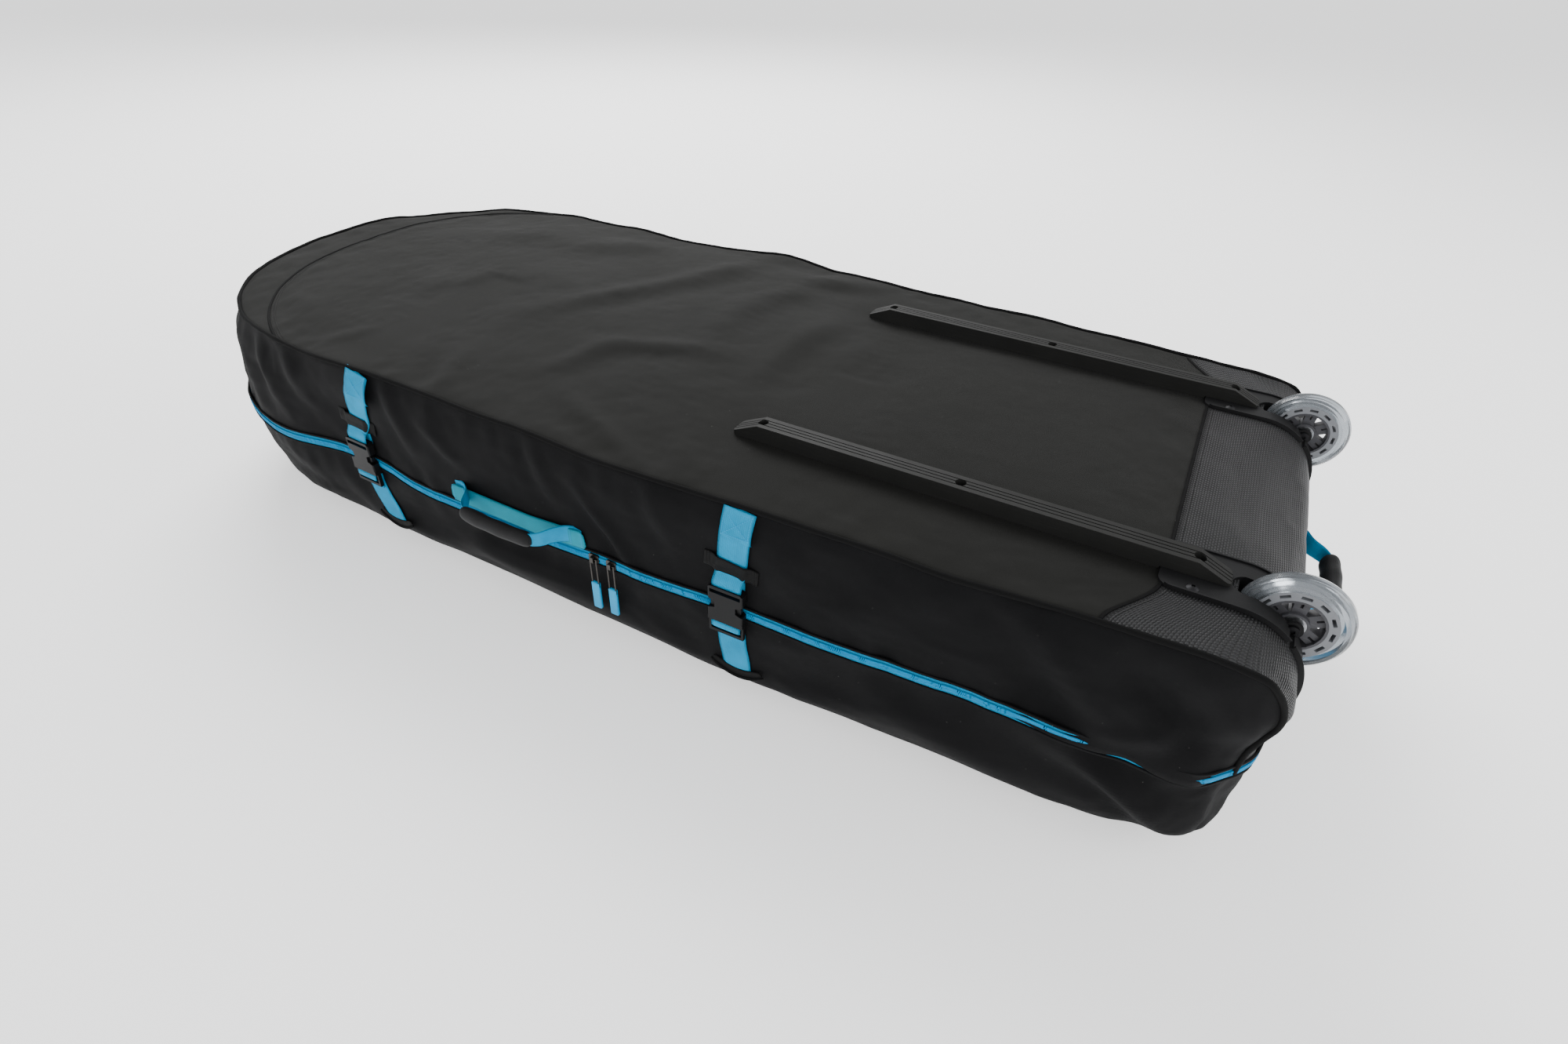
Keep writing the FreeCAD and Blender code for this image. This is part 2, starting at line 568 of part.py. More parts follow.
def make_housing(side, sign):
    """Wheel housing: a plate wrapped over the tail edge, a closed well and two axle ears."""
    middle = sign * dim("axle_y")
    half = dim("housing_half")
    thick = dim("housing_thick")
    low = dim("housing_low")
    start = dim("housing_start")
    lip_wide = 2.2

    def wrapped(height):
        """A skin of that height over the tail's edge."""
        outer = side_prism(-seat_gap - height, low, half, start, middle)
        return outer.cut(side_prism(-seat_gap, low - 1, half + 1, start - 1, middle))

    between_lips = box_between((start - 1, middle - half + lip_wide, 0),
                               (FAR, middle + half - lip_wide, FAR))
    lips = wrapped(thick + dim("housing_lip")).cut(between_lips)
    plan = Part.makeBox(FAR, 2 * half, FAR, Vector(start, middle - half, 0))
    corners = [edge for edge in plan.Edges
               if runs_along(edge, Vector(0, 0, 1)) and edge.BoundBox.XMax < start + 1]
    plan = plan.makeFillet(dim("plate_corner"), corners)
    well_wall = dim("well_wall")
    well = across_cylinder(dim("well_radius") + well_wall, middle, dim("well_half") + well_wall)
    well = well.common(side_prism(-seat_gap - 0.1, low - 40, half, 600, middle))
    body = wrapped(thick).fuse(lips).common(plan).fuse(well).cut(head_pocket(middle, 0.4))
    lean = math.degrees(math.atan2(dim("axle_z") - (dim("base_top") - dim("tail_round")),
                                   dim("axle_x") - (dim("tail_face") - dim("tail_round"))))
    for ear_sign in (-1, 1):
        ear_y = middle + ear_sign * (dim("well_half") + dim("ear_thick") / 2)
        ear = across_cylinder(dim("ear_radius"), ear_y, dim("ear_thick") / 2)
        web = Part.makeBox(dim("ear_reach"), dim("ear_thick"), 2 * dim("ear_radius"),
                           Vector(-dim("ear_reach"), -dim("ear_thick") / 2, -dim("ear_radius")))
        web.Placement = Placement(Vector(dim("axle_x"), ear_y, dim("axle_z")),
                                  Rotation(Vector(0, 1, 0), -lean))
        body = body.fuse(ear).fuse(web)
    inside = dim("base_top") - 10
    slot_foot = Vector(dim("axle_x") - dim("well_radius") + 8, middle, inside)
    body = body.cut(Part.makeCylinder(dim("well_half"), 40, slot_foot))
    body = body.cut(across_cylinder(dim("well_radius"), middle, dim("well_half")))
    body = body.cut(across_cylinder(dim("axle_radius") + dim("fit_gap"), middle, half))
    for offset in (-dim("plate_screw_y"), dim("plate_screw_y")):
        foot = Vector(dim("plate_screw_x"), middle + offset, inside)
        body = body.cut(Part.makeCylinder(dim("truss_shank") + 0.2, 30, foot))
    rail_hole = Vector(rail_screw_places[-1], sign * dim("rail_y"), inside)
    body = body.cut(Part.makeCylinder(dim("screw_shank") + 0.2, 30, rail_hole))
    add_shape("wheel_housing_" + side, body.removeSplitter())


def make_housing_screws():
    """Truss-head screws that hold the wheel housings to the ribbed patch."""
    screws = []
    lift = 0.05
    seat = dim("base_top") + seat_gap + dim("housing_thick")
    high = dim("truss_high")
    reach = dim("housing_thick") + seat_gap
    for side, sign in WHEEL_SIDES:
        for offset in (-dim("plate_screw_y"), dim("plate_screw_y")):
            foot = Vector(dim("plate_screw_x"), sign * dim("axle_y") + offset, seat)
            head = Part.makeCylinder(dim("truss_radius"), high, foot + Vector(0, 0, lift))
            dome = Part.makeSphere(dim("truss_dome"), foot + Vector(0, 0, lift + high - dim("truss_dome")))
            socket = Part.makeCylinder(dim("socket_radius"), high, foot + Vector(0, 0, high / 2))
            shank = Part.makeCylinder(dim("truss_shank"), reach + lift, foot - Vector(0, 0, reach))
            screws.append(head.common(dome).cut(socket).fuse(shank))
    add_shape("housing_screws", Part.makeCompound(screws))


def make_axle(side, sign):
    """A shoulder screw through both ears, with its spacer between the bearings and its bushes."""
    middle = sign * dim("axle_y")
    gap = 0.1
    reach = dim("well_half") + dim("ear_thick")
    hub_end = dim("wheel_wide") / 2 - dim("hub_side")
    shaft = across_cylinder(dim("axle_radius"), middle, reach)
    spacer = across_cylinder(dim("spacer_radius"), middle, hub_end - dim("bearing_wide") - 2 * gap)
    bushes = []
    heads = []
    for end in (-1, 1):
        inner = hub_end + 2 * gap
        bush_half = (dim("well_half") - gap - inner) / 2
        bushes.append(across_cylinder(dim("spacer_radius"), middle + end * (inner + bush_half), bush_half))
        half = dim("axle_head_half")
        face = middle + end * (reach + gap + half)
        head = across_cylinder(dim("axle_head"), face, half)
        socket = across_cylinder(2.4, face + end * half, 1.6)
        neck = across_cylinder(dim("axle_radius"), middle + end * reach, 3 * gap)
        heads.append(head.cut(socket).fuse(neck))
    add_shape("axle_" + side, shaft.fuse([spacer] + bushes + heads).removeSplitter())


def make_wheel(side, sign):
    """Tyre, core ring with twelve windows, spoked hub and a pair of bearings."""
    centre = (dim("axle_x"), sign * dim("axle_y"), dim("axle_z"))
    half = "dims.wheel_wide / 2"
    tyre = new_body("wheel_tyre_" + side, centre)
    profile = new_sketch(tyre, "XY_Plane")
    crown = "dims.wheel_radius"
    polygon(profile, [
        ("dims.tyre_inner", "-dims.core_wide / 2"), ("dims.tyre_inner + 4", "-" + half),
        (crown + " - 5", "-" + half + " + 1"), (crown + " - 1.5", "-" + half + " + 5"),
        (crown, "-3"), (crown, "3"),
        (crown + " - 1.5", half + " - 5"), (crown + " - 5", half + " - 1"),
        ("dims.tyre_inner + 4", half), ("dims.tyre_inner", "dims.core_wide / 2")])
    revolve(tyre, profile)
    core = new_body("wheel_core_" + side, centre)
    profile = new_sketch(core, "XY_Plane")
    rectangle(profile, "dims.core_inner + dims.fit_gap", "-dims.core_wide / 2",
              "dims.tyre_inner - dims.fit_gap", "dims.core_wide / 2")
    revolve(core, profile)
    window = new_sketch(core, "XZ_Plane", "dims.core_wide / 2 + 1")
    middle = "(dims.core_inner + dims.tyre_inner) / 2"
    rectangle(window, middle + " - 1.6", "-4.5", middle + " + 1.6", "4.5")
    repeat_round(core, [pocket(core, window, "dims.core_wide + 2")], 12)
    hub = new_body("wheel_hub_" + side, centre)
    profile = new_sketch(hub, "XY_Plane")
    barrel = "dims.barrel_radius"
    seat = "dims.bearing_radius + dims.fit_gap"
    polygon(profile, [
        (seat, "-" + half + " + dims.hub_side"), (barrel, "-" + half + " + dims.hub_side"),
        (barrel, "-6"), ("dims.rim_inner", "-6"),
        ("dims.rim_inner", "-dims.core_wide / 2"), ("dims.core_inner", "-dims.core_wide / 2"),
        ("dims.core_inner", "dims.core_wide / 2"), ("dims.rim_inner", "dims.core_wide / 2"),
        ("dims.rim_inner", "6"), (barrel, "6"),
        (barrel, half + " - dims.hub_side"), (seat, half + " - dims.hub_side")])
    revolve(hub, profile)
    wide = new_sketch(hub, "XZ_Plane", "10")
    polygon(wide, [(barrel + " + 0.5", "-1.2"), ("dims.rim_inner - 0.5", "-6.6"),
                   ("dims.rim_inner - 0.2", "6.6"), (barrel + " + 0.5", "1.2")])
    repeat_round(hub, [pocket(hub, wide, "20")], 6)
    slim = new_sketch(hub, "XZ_Plane", "10")
    lean = [(17, 8.3), (23, 11.7), (21.8, 13.8), (15.8, 10.3)]
    polygon(slim, [(str(x_size), str(y_size)) for x_size, y_size in lean])
    repeat_round(hub, [pocket(hub, slim, "20")], 6)
    bearings = new_body("wheel_bearings_" + side, centre)
    profile = new_sketch(bearings, "XY_Plane")
    end = "(dims.wheel_wide / 2 - dims.hub_side)"
    for low, high in ((end + " - dims.bearing_wide", end), ("-" + end, "dims.bearing_wide - " + end)):
        rectangle(profile, "dims.axle_bore", low, "dims.bearing_radius", high)
    revolve(bearings, profile)


def near_side(label, x_place):
    """A body on the near side's fabric: local -Y points out of the bag, local X runs along it."""
    return new_body(label, (x_place, -half_width(x_place), 0), side_turn(x_place))


def flat_piece(label, x_place, layer, thick, corners):
    """A flat piece on the near side, layer out from the fabric, drawn in its own XZ plane."""
    body = near_side(label, x_place)
    drawing = new_sketch(body, "XZ_Plane", layer)
    polygon(drawing, corners)
    pad(body, drawing, thick)
    return body


def make_strap(name, x_place):
    """Webbing, keeper, anchor and both buckle halves of one strap."""
    layer = "0.5"
    outer_layer = "0.8 + dims.strap_thick"

    def band(low, high, lean_low="0", lean_high="0", side="dims.strap_wide / 2"):
        return [(lean_low + " - " + side, low), (lean_low + " + " + side, low),
                (lean_high + " + " + side, high), (lean_high + " - " + side, high)]

    flat_piece("strap_upper_" + name, x_place, layer, "dims.strap_thick",
               band("dims.buckle_top - 9", "dims.strap_top", lean_high="dims.lean_top_" + name))
    keeper_band = band("dims.keeper_low", "dims.keeper_low + dims.keeper_high", side="dims.keeper_wide / 2")
    keeper = flat_piece("strap_keeper_" + name, x_place, outer_layer, "2.2", keeper_band)
    round_edges(keeper, "4", lambda edge: runs_along(edge, Vector(0, 1, 0)))
    lean = "dims.lean_low_" + name
    flat_piece("strap_lower_" + name, x_place, layer, "dims.strap_thick",
               band("dims.strap_low", "dims.buckle_low + 14", lean_low=lean))
    half = "dims.anchor_half"
    low = "dims.strap_low"
    flat_piece("strap_anchor_" + name, x_place, outer_layer, "2", [
        (lean + " - " + half, low + " - 5"), (lean, low + " - 9"), (lean + " + " + half, low + " - 5"),
        (lean + " + " + half + " - 10", low + " + 5"), (lean, low + " + 9"),
        (lean + " - " + half + " + 10", low + " + 5")])
    make_buckle(name, x_place)


def make_buckle(name, x_place):
    """Side-release buckle: a hollow upper half, and a lower half with a tongue and two prongs."""
    wide = "dims.buckle_wide / 2"
    skin = "dims.buckle_skin"
    play = "dims.buckle_play"
    split = "dims.buckle_split"
    bottom = "dims.buckle_low"
    back = "3"
    female = flat_piece("buckle_socket_" + name, x_place, back, "dims.buckle_thick", [
        ("-" + wide, split + " + 0.2"), (wide, split + " + 0.2"), (wide, "dims.buckle_top - 3"),
        (wide + " - 3", "dims.buckle_top"), ("-" + wide + " + 3", "dims.buckle_top"),
        ("-" + wide, "dims.buckle_top - 3")])
    round_edges(female, "2", lambda edge: runs_along(edge, Vector(0, 0, 1)))
    hollow = new_sketch(female, "XZ_Plane", back + " + dims.buckle_thick - " + skin)
    rectangle(hollow, "-" + wide + " + " + skin, split + " - 5", wide + " - " + skin, "dims.buckle_top - 14")
    pocket(female, hollow, "dims.buckle_thick - 2 * " + skin)
    slot = new_sketch(female, "XZ_Plane", back + " + dims.buckle_thick + 5")
    rectangle(slot, "-dims.buckle_room", "dims.buckle_top - 9", "dims.buckle_room", "dims.buckle_top - 4")
    pocket(female, slot, "dims.buckle_thick + 10")
    inlet = new_sketch(female, "XZ_Plane", back + " + dims.buckle_thick - 2")
    rectangle(inlet, "-dims.buckle_room", "dims.buckle_top - 5", "dims.buckle_room", "dims.buckle_top + 1")
    pocket(female, inlet, "3.4")
    for sign in ("-", ""):
        window = new_sketch(female, "XZ_Plane", back + " + dims.buckle_thick + 5")
        edge = sign + "(" + wide + ")"
        inner = "(%s) - %s9" % (edge, "" if sign == "" else "-")
        outer = "(%s) + %s2" % (edge, "" if sign == "" else "-")
        polygon(window, [(outer, split + " + 10"), (inner, split + " + 14"),
                         (inner, split + " + 22"), (outer, split + " + 27")])
        pocket(female, window, "dims.buckle_thick + 10")
    arm_out = "%s - %s - %s" % (wide, skin, play)
    thick = "dims.buckle_thick - 2 * %s - 2 * %s" % (skin, play)
    tongue = flat_piece("buckle_tongue_" + name, x_place, "%s + %s + %s" % (back, skin, play), thick, [
        ("-" + wide, bottom), (wide, bottom), (wide, split), ("(" + arm_out + ") - 2", split),
        ("(" + arm_out + ") - 2", split + " + 12"), (arm_out, split + " + 15"), (arm_out, split + " + 21"),
        ("(" + arm_out + ") - 5", split + " + 25"), ("(" + arm_out + ") - 7", split + " + 14"),
        ("(" + arm_out + ") - 6", split + " + 4"), ("4", split + " + 4"), ("3", split + " + 22"),
        ("-3", split + " + 22"), ("-4", split + " + 4"), ("6 - (" + arm_out + ")", split + " + 4"),
        ("7 - (" + arm_out + ")", split + " + 14"), ("5 - (" + arm_out + ")", split + " + 25"),
        ("0 - (" + arm_out + ")", split + " + 21"), ("0 - (" + arm_out + ")", split + " + 15"),
        ("2 - (" + arm_out + ")", split + " + 12"), ("2 - (" + arm_out + ")", split), ("-" + wide, split)])
    shoulder = new_sketch(tongue, "XZ_Plane", back + " + 0.3")
    rectangle(shoulder, "-" + wide, bottom + " + 19.4", wide, split)
    pad(tongue, shoulder, "dims.buckle_thick - 0.6")
    for low, high in ((bottom + " + 4", bottom + " + 9"), (bottom + " + 16", bottom + " + 19")):
        slot = new_sketch(tongue, "XZ_Plane", back + " + dims.buckle_thick + 5")
        rectangle(slot, "-dims.buckle_room", low, "dims.buckle_room", high)
        pocket(tongue, slot, "dims.buckle_thick + 10")
    loop = near_side("strap_loop_" + name, x_place)
    web = new_sketch(loop, "YZ_Plane", "-19")
    outer_y = "-(" + back + " + dims.buckle_thick - 1)"
    rectangle(web, outer_y, bottom + " - 8", "-3.4", bottom + " + 18")
    pad(loop, web, "38")
    hole = new_sketch(loop, "YZ_Plane", "20")
    rectangle(hole, outer_y + " + 1.6", bottom + " + 8.6", "-5", bottom + " + 16.4")
    pocket(loop, hole, "40")
    away = new_sketch(loop, "YZ_Plane", "20")
    rectangle(away, outer_y + " - 1", bottom + " - 9", "-5", bottom + " + 7")
    pocket(loop, away, "40")


def near_turn(x_place, z_place):
    """Placement on the near side's fabric: local -Y points out of the bag."""
    return Placement(Vector(x_place, -half_width(x_place), z_place),
                     Rotation(Vector(0, 0, 1), side_turn(x_place)))


def make_side_handle():
    """Carry handle: sewn base webbing, two webbing ends and a padded grip."""
    place = dim("handle_x")
    half = "dims.handle_base / 2"
    low, high = "dims.handle_z - dims.handle_half_high", "dims.handle_z + dims.handle_half_high"
    flat_piece("side_handle_base", place, "0.8", "dims.strap_thick", [
        ("-" + half, "dims.handle_z"), ("8 - " + half, low), (half + " - 8", low),
        (half, "dims.handle_z"), (half + " - 8", high), ("8 - " + half, high)])
    span = dim("handle_base") / 2 - 12
    make_loop("side_handle", near_turn(place, dim("handle_z")), span, dim("grip_long"), dim("handle_reach"))


def make_tail_handle():
    """Tail handle: two sewn tabs, two webbing ends and a padded grip."""
    tabs = []
    span = dim("tail_handle_half")
    level = dim("tail_handle_z")
    half_high = dim("handle_half_high")
    for sign in (-1, 1):
        foot = Vector(dim("tail_face") + 0.4, sign * span - dim("tab_half"), level - half_high)
        tab = Part.makeBox(dim("strap_thick"), 2 * dim("tab_half"), 2 * half_high, foot)
        tabs.append(tab.makeFillet(3, [edge for edge in tab.Edges if runs_along(edge, Vector(1, 0, 0))]))
    add_shape("tail_handle_tabs", Part.makeCompound(tabs))
    turn = Placement(Vector(dim("tail_face"), 0, level), Rotation(Vector(0, 0, 1), 90))
    make_loop("tail_handle", turn, span, dim("tail_grip_long"), dim("tail_handle_reach"))


def make_loop(name, turn, span, grip_long, reach):
    """Grip and webbing ends of a handle whose swing axis is local X, handle_pivot out of the fabric."""
    ends = []
    for sign in (-1, 1):
        start = Vector(sign * span, -dim("handle_pivot"), 0)
        stop = Vector(sign * (grip_long / 2 + dim("loop_gap")), -reach, 0)
        along = (stop - start).normalize()
        out = Vector(-along.y, along.x, 0) * (dim("loop_thick") / 2)
        taper = start + along * dim("loop_taper")

        def section(point, high):
            up = Vector(0, 0, high)
            corners = [point - out - up, point + out - up, point + out + up, point - out + up]
            return Part.makePolygon(corners + corners[:1])

        broad = section(taper, dim("loop_broad"))
        slope = Part.makeLoft([section(start, dim("loop_root")), broad], True, True)
        run = Part.makeLoft([broad, section(stop, dim("loop_tip"))], True, True)
        ends.append(slope.fuse(run))
    add_shape(name + "_webbing", Part.makeCompound(ends), turn)
    foot = Vector(-grip_long / 2, -reach, 0)
    grip = Part.makeCylinder(dim("grip_radius"), grip_long, foot, Vector(1, 0, 0))
    grip = grip.makeFillet(4, [edge for edge in grip.Edges if isinstance(edge.Curve, Part.Circle)])
    add_shape(name + "_grip", grip, turn)


def make_slider(name, x_place):
    """Zip slider with its wire puller and moulded tab, hanging down."""
    body = near_side("zip_slider_" + name, x_place)
    layer = "dims.zip_thick + 2"
    drawing = new_sketch(body, "XZ_Plane", layer)
    long_half, high_half = "dims.slider_long / 2", "dims.slider_high / 2"
    middle = "dims.parting"
    low, high = middle + " - " + high_half, middle + " + " + high_half
    polygon(drawing, [
        ("-" + long_half, low + " + 2"), ("2 - " + long_half, low),
        (long_half + " - 2", low), (long_half, low + " + 2"),
        (long_half, high + " - 2"), (long_half + " - 2", high),
        ("2 - " + long_half, high), ("-" + long_half, high + " - 2")])
    pad(body, drawing, "dims.slider_thick")
    bridge = new_sketch(body, "YZ_Plane", "-2")
    front = "-(%s + dims.slider_thick)" % layer
    polygon(bridge, [(front + " + 1", middle + " - 5"), (front + " - 4.5", middle + " - 4"),
                     (front + " - 4.5", middle + " + 4"), (front + " + 1", middle + " + 5")])
    pad(body, bridge, "4")
    eye = new_sketch(body, "YZ_Plane", "10")
    rectangle(eye, front + " - 3.2", middle + " - 2.6", front + " - 0.1", middle + " + 2.6")
    pocket(body, eye, "20")
    make_puller(name, near_turn(x_place, dim("parting")))


def make_puller(name, turn):
    """A wire loop through the slider's bridge, and the tab moulded over its end."""
    out = dim("zip_thick") + 2 + dim("slider_thick") + 1.65
    wire = dim("pull_wire")
    low = -dim("pull_long")
    half = 4.5
    corners = [Vector(-half, -out, 0), Vector(half, -out, 0),
               Vector(half, -out, low), Vector(-half, -out, low)]
    loop = []
    for index, corner in enumerate(corners):
        along = corners[(index + 1) % 4] - corner
        loop.append(Part.makeCylinder(wire, along.Length, corner, along))
        loop.append(Part.makeSphere(wire, corner))
    add_shape("pull_wire_" + name, loop[0].fuse(loop[1:]), turn)
    cover = 6
    clear = wire + 0.3
    tab_half = dim("tab_wide") / 2
    thick_half = dim("tab_thick") / 2
    tab = box_between((-tab_half, -out - thick_half, low - dim("tab_long") + cover),
                      (tab_half, -out + thick_half, low + cover))
    tab = tab.makeFillet(2, tab.Edges)
    room = box_between((-cover, -out - clear, low - clear), (cover, -out + clear, low + cover + 1))
    tongue = box_between((clear - half, -out - 5, low + clear), (half - clear, -out + 5, low + cover + 1))
    add_shape("pull_tab_" + name, tab.cut(room.cut(tongue)), turn)


make_lid()
make_zip_and_hinge()
make_base()
make_rail_fixings()
make_housing_screws()
for side_name, side_sign in WHEEL_SIDES:
    make_rail(side_name, side_sign)
    make_housing(side_name, side_sign)
    make_axle(side_name, side_sign)
    make_wheel(side_name, side_sign)
make_strap("front", dim("strap_front"))
make_strap("rear", dim("strap_rear"))
make_side_handle()
make_tail_handle()
make_slider("front", dim("slider_front"))
make_slider("rear", dim("slider_rear"))
doc.recompute()

problems = []
for item in doc.Objects:
    if "Invalid" in item.State or "Error" in item.State:
        problems.append("%s is %s" % (item.Label, item.State))
for piece in pieces:
    if piece.Shape.isNull() or not piece.Shape.isValid() or piece.Shape.Volume <= 0:
        problems.append("%s has no sound shape" % piece.Label)
if problems:
    raise RuntimeError("; ".join(problems))

os.makedirs("parts", exist_ok=True)
for piece in pieces:
    piece.Shape.exportStep("parts/%s.step" % piece.Label)
print("%d pieces written" % len(pieces))
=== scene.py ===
"""Looks of the wheeled snowboard bag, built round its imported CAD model.

Metres, in the CAD model's own frame: +Z up, +X towards the wheeled tail, -Y the side with the handle.
The soft shell is one quad mesh for each half, shaped, simulated, subdivided and cut into its panels.
"""
import math
import bpy
import numpy as np
from mathutils import Matrix, Vector
from mathutils.bvhtree import BVHTree


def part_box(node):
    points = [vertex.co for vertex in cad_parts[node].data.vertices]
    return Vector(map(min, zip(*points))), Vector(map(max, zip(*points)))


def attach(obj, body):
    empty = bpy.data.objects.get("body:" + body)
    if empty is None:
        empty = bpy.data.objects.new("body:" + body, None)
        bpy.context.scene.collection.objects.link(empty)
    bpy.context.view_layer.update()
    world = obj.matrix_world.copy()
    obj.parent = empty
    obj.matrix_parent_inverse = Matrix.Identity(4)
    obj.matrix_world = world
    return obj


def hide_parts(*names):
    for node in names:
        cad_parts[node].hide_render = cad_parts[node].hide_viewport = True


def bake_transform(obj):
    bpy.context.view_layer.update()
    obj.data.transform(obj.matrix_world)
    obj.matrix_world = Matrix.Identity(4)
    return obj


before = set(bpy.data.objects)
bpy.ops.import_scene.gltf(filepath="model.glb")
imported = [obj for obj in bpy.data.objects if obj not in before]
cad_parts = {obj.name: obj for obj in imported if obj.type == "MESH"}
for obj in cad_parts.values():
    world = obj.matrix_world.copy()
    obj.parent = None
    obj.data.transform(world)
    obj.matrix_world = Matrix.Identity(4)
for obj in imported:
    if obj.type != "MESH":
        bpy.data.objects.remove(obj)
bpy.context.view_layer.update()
SCENE = bpy.context.scene

# ---------------------------------------------------------------- places, read from the frame


def box_low(node, axis):
    return getattr(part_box(node)[0], axis)


def box_high(node, axis):
    return getattr(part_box(node)[1], axis)


def box_middle(node, axis):
    return (box_low(node, axis) + box_high(node, axis)) / 2


def box_half(node, axis):
    return (box_high(node, axis) - box_low(node, axis)) / 2


NOSE_TIP = box_low("nose_cap", "x")
TAIL = box_high("tail_wall", "x")
TOP = box_high("base_panel", "z")
PARTING = (box_high("zip_tape_lid", "z") + box_low("zip_tape_base", "z")) / 2
# the long sides are slight arcs, widest at BELLY_X; the nose is half a circle
BELLY = box_high("base_gusset_far", "y")
SIDE_RADIUS = 11.0
BELLY_X = 0.060
NOSE_RADIUS = 0.3164
NOSE_X = NOSE_TIP + NOSE_RADIUS
TAIL_ROUND = TAIL - box_low("tail_wall", "x")
TAIL_CORNER = 0.030
CORNER_SOFT = 0.006
SLACK_CORNER = 0.076
TAIL_BULGE = 0.005
LID_RADIUS = 0.050
LID_SLACK_RADIUS = 0.006
PATCH_X = box_low("tail_patch", "x")
PATCH_LOW = box_low("tail_patch", "z")
ZIP_GAP = 0.0004
CAP_RADIUS = 0.336
CAP_X = box_low("base_panel", "x") + CAP_RADIUS
RAIL_Y = box_middle("rail_far", "y")
RAIL_HALF = box_half("rail_far", "y")
RAIL_FRONT = box_low("rail_far", "x")
HOUSING_FRONT = box_low("wheel_housing_far", "x")
HOUSING_LOW = box_low("wheel_housing_far", "z")
HOUSING_HALF = box_half("wheel_housing_far", "y")
STRAPS = {name: box_middle("buckle_socket_" + name, "x") for name in ("front", "rear")}
HANDLE_X = box_middle("side_handle_base", "x")
HANDLE_Z = box_middle("side_handle_base", "z")
TAIL_HANDLE_Z = box_middle("tail_handle_tabs", "z")
TAIL_TAB_Y = 0.092
HANDLE_HALF = 0.110

CELL = 0.009
PATH_STEP = 0.004
COLUMNS = 72
WALL_ROWS = 16
LID_ROWS = 10
EDGE_ROWS = 7


def smooth(value, low, high):
    """0 below low, 1 above high, and an even turn between them."""
    part = np.clip((np.asarray(value, float) - low) / (high - low), 0, 1)
    return part * part * (3 - 2 * part)


def bell(value, middle, width):
    return np.exp(-((np.asarray(value, float) - middle) / width) ** 2)


def half_width(x):
    """Half of the bag's width at x."""
    x = np.asarray(x, float)
    side = BELLY - SIDE_RADIUS + np.sqrt(SIDE_RADIUS ** 2 - (x - BELLY_X) ** 2)
    nose = np.sqrt(np.maximum(NOSE_RADIUS ** 2 - np.minimum(x - NOSE_X, 0) ** 2, 0))
    return np.where(x < NOSE_X, nose, side)


# ---------------------------------------------------------------- how the stuffed cloth leaves the plain solids

NOSE_SWELL = 0.020
NOSE_SQUARE = 0.015
SIDE_SWELL = 0.008
TOP_CROWN = 0.008
SEAM_SWAY = 0.0030
EDGE_LEAN = 0.008
WALL_ROLL = 0.0055


def beside_straps(x, reach):
    """1 at a strap, falling to 0 away from it."""
    return np.maximum(*(bell(x, strap, reach) for strap in STRAPS.values()))


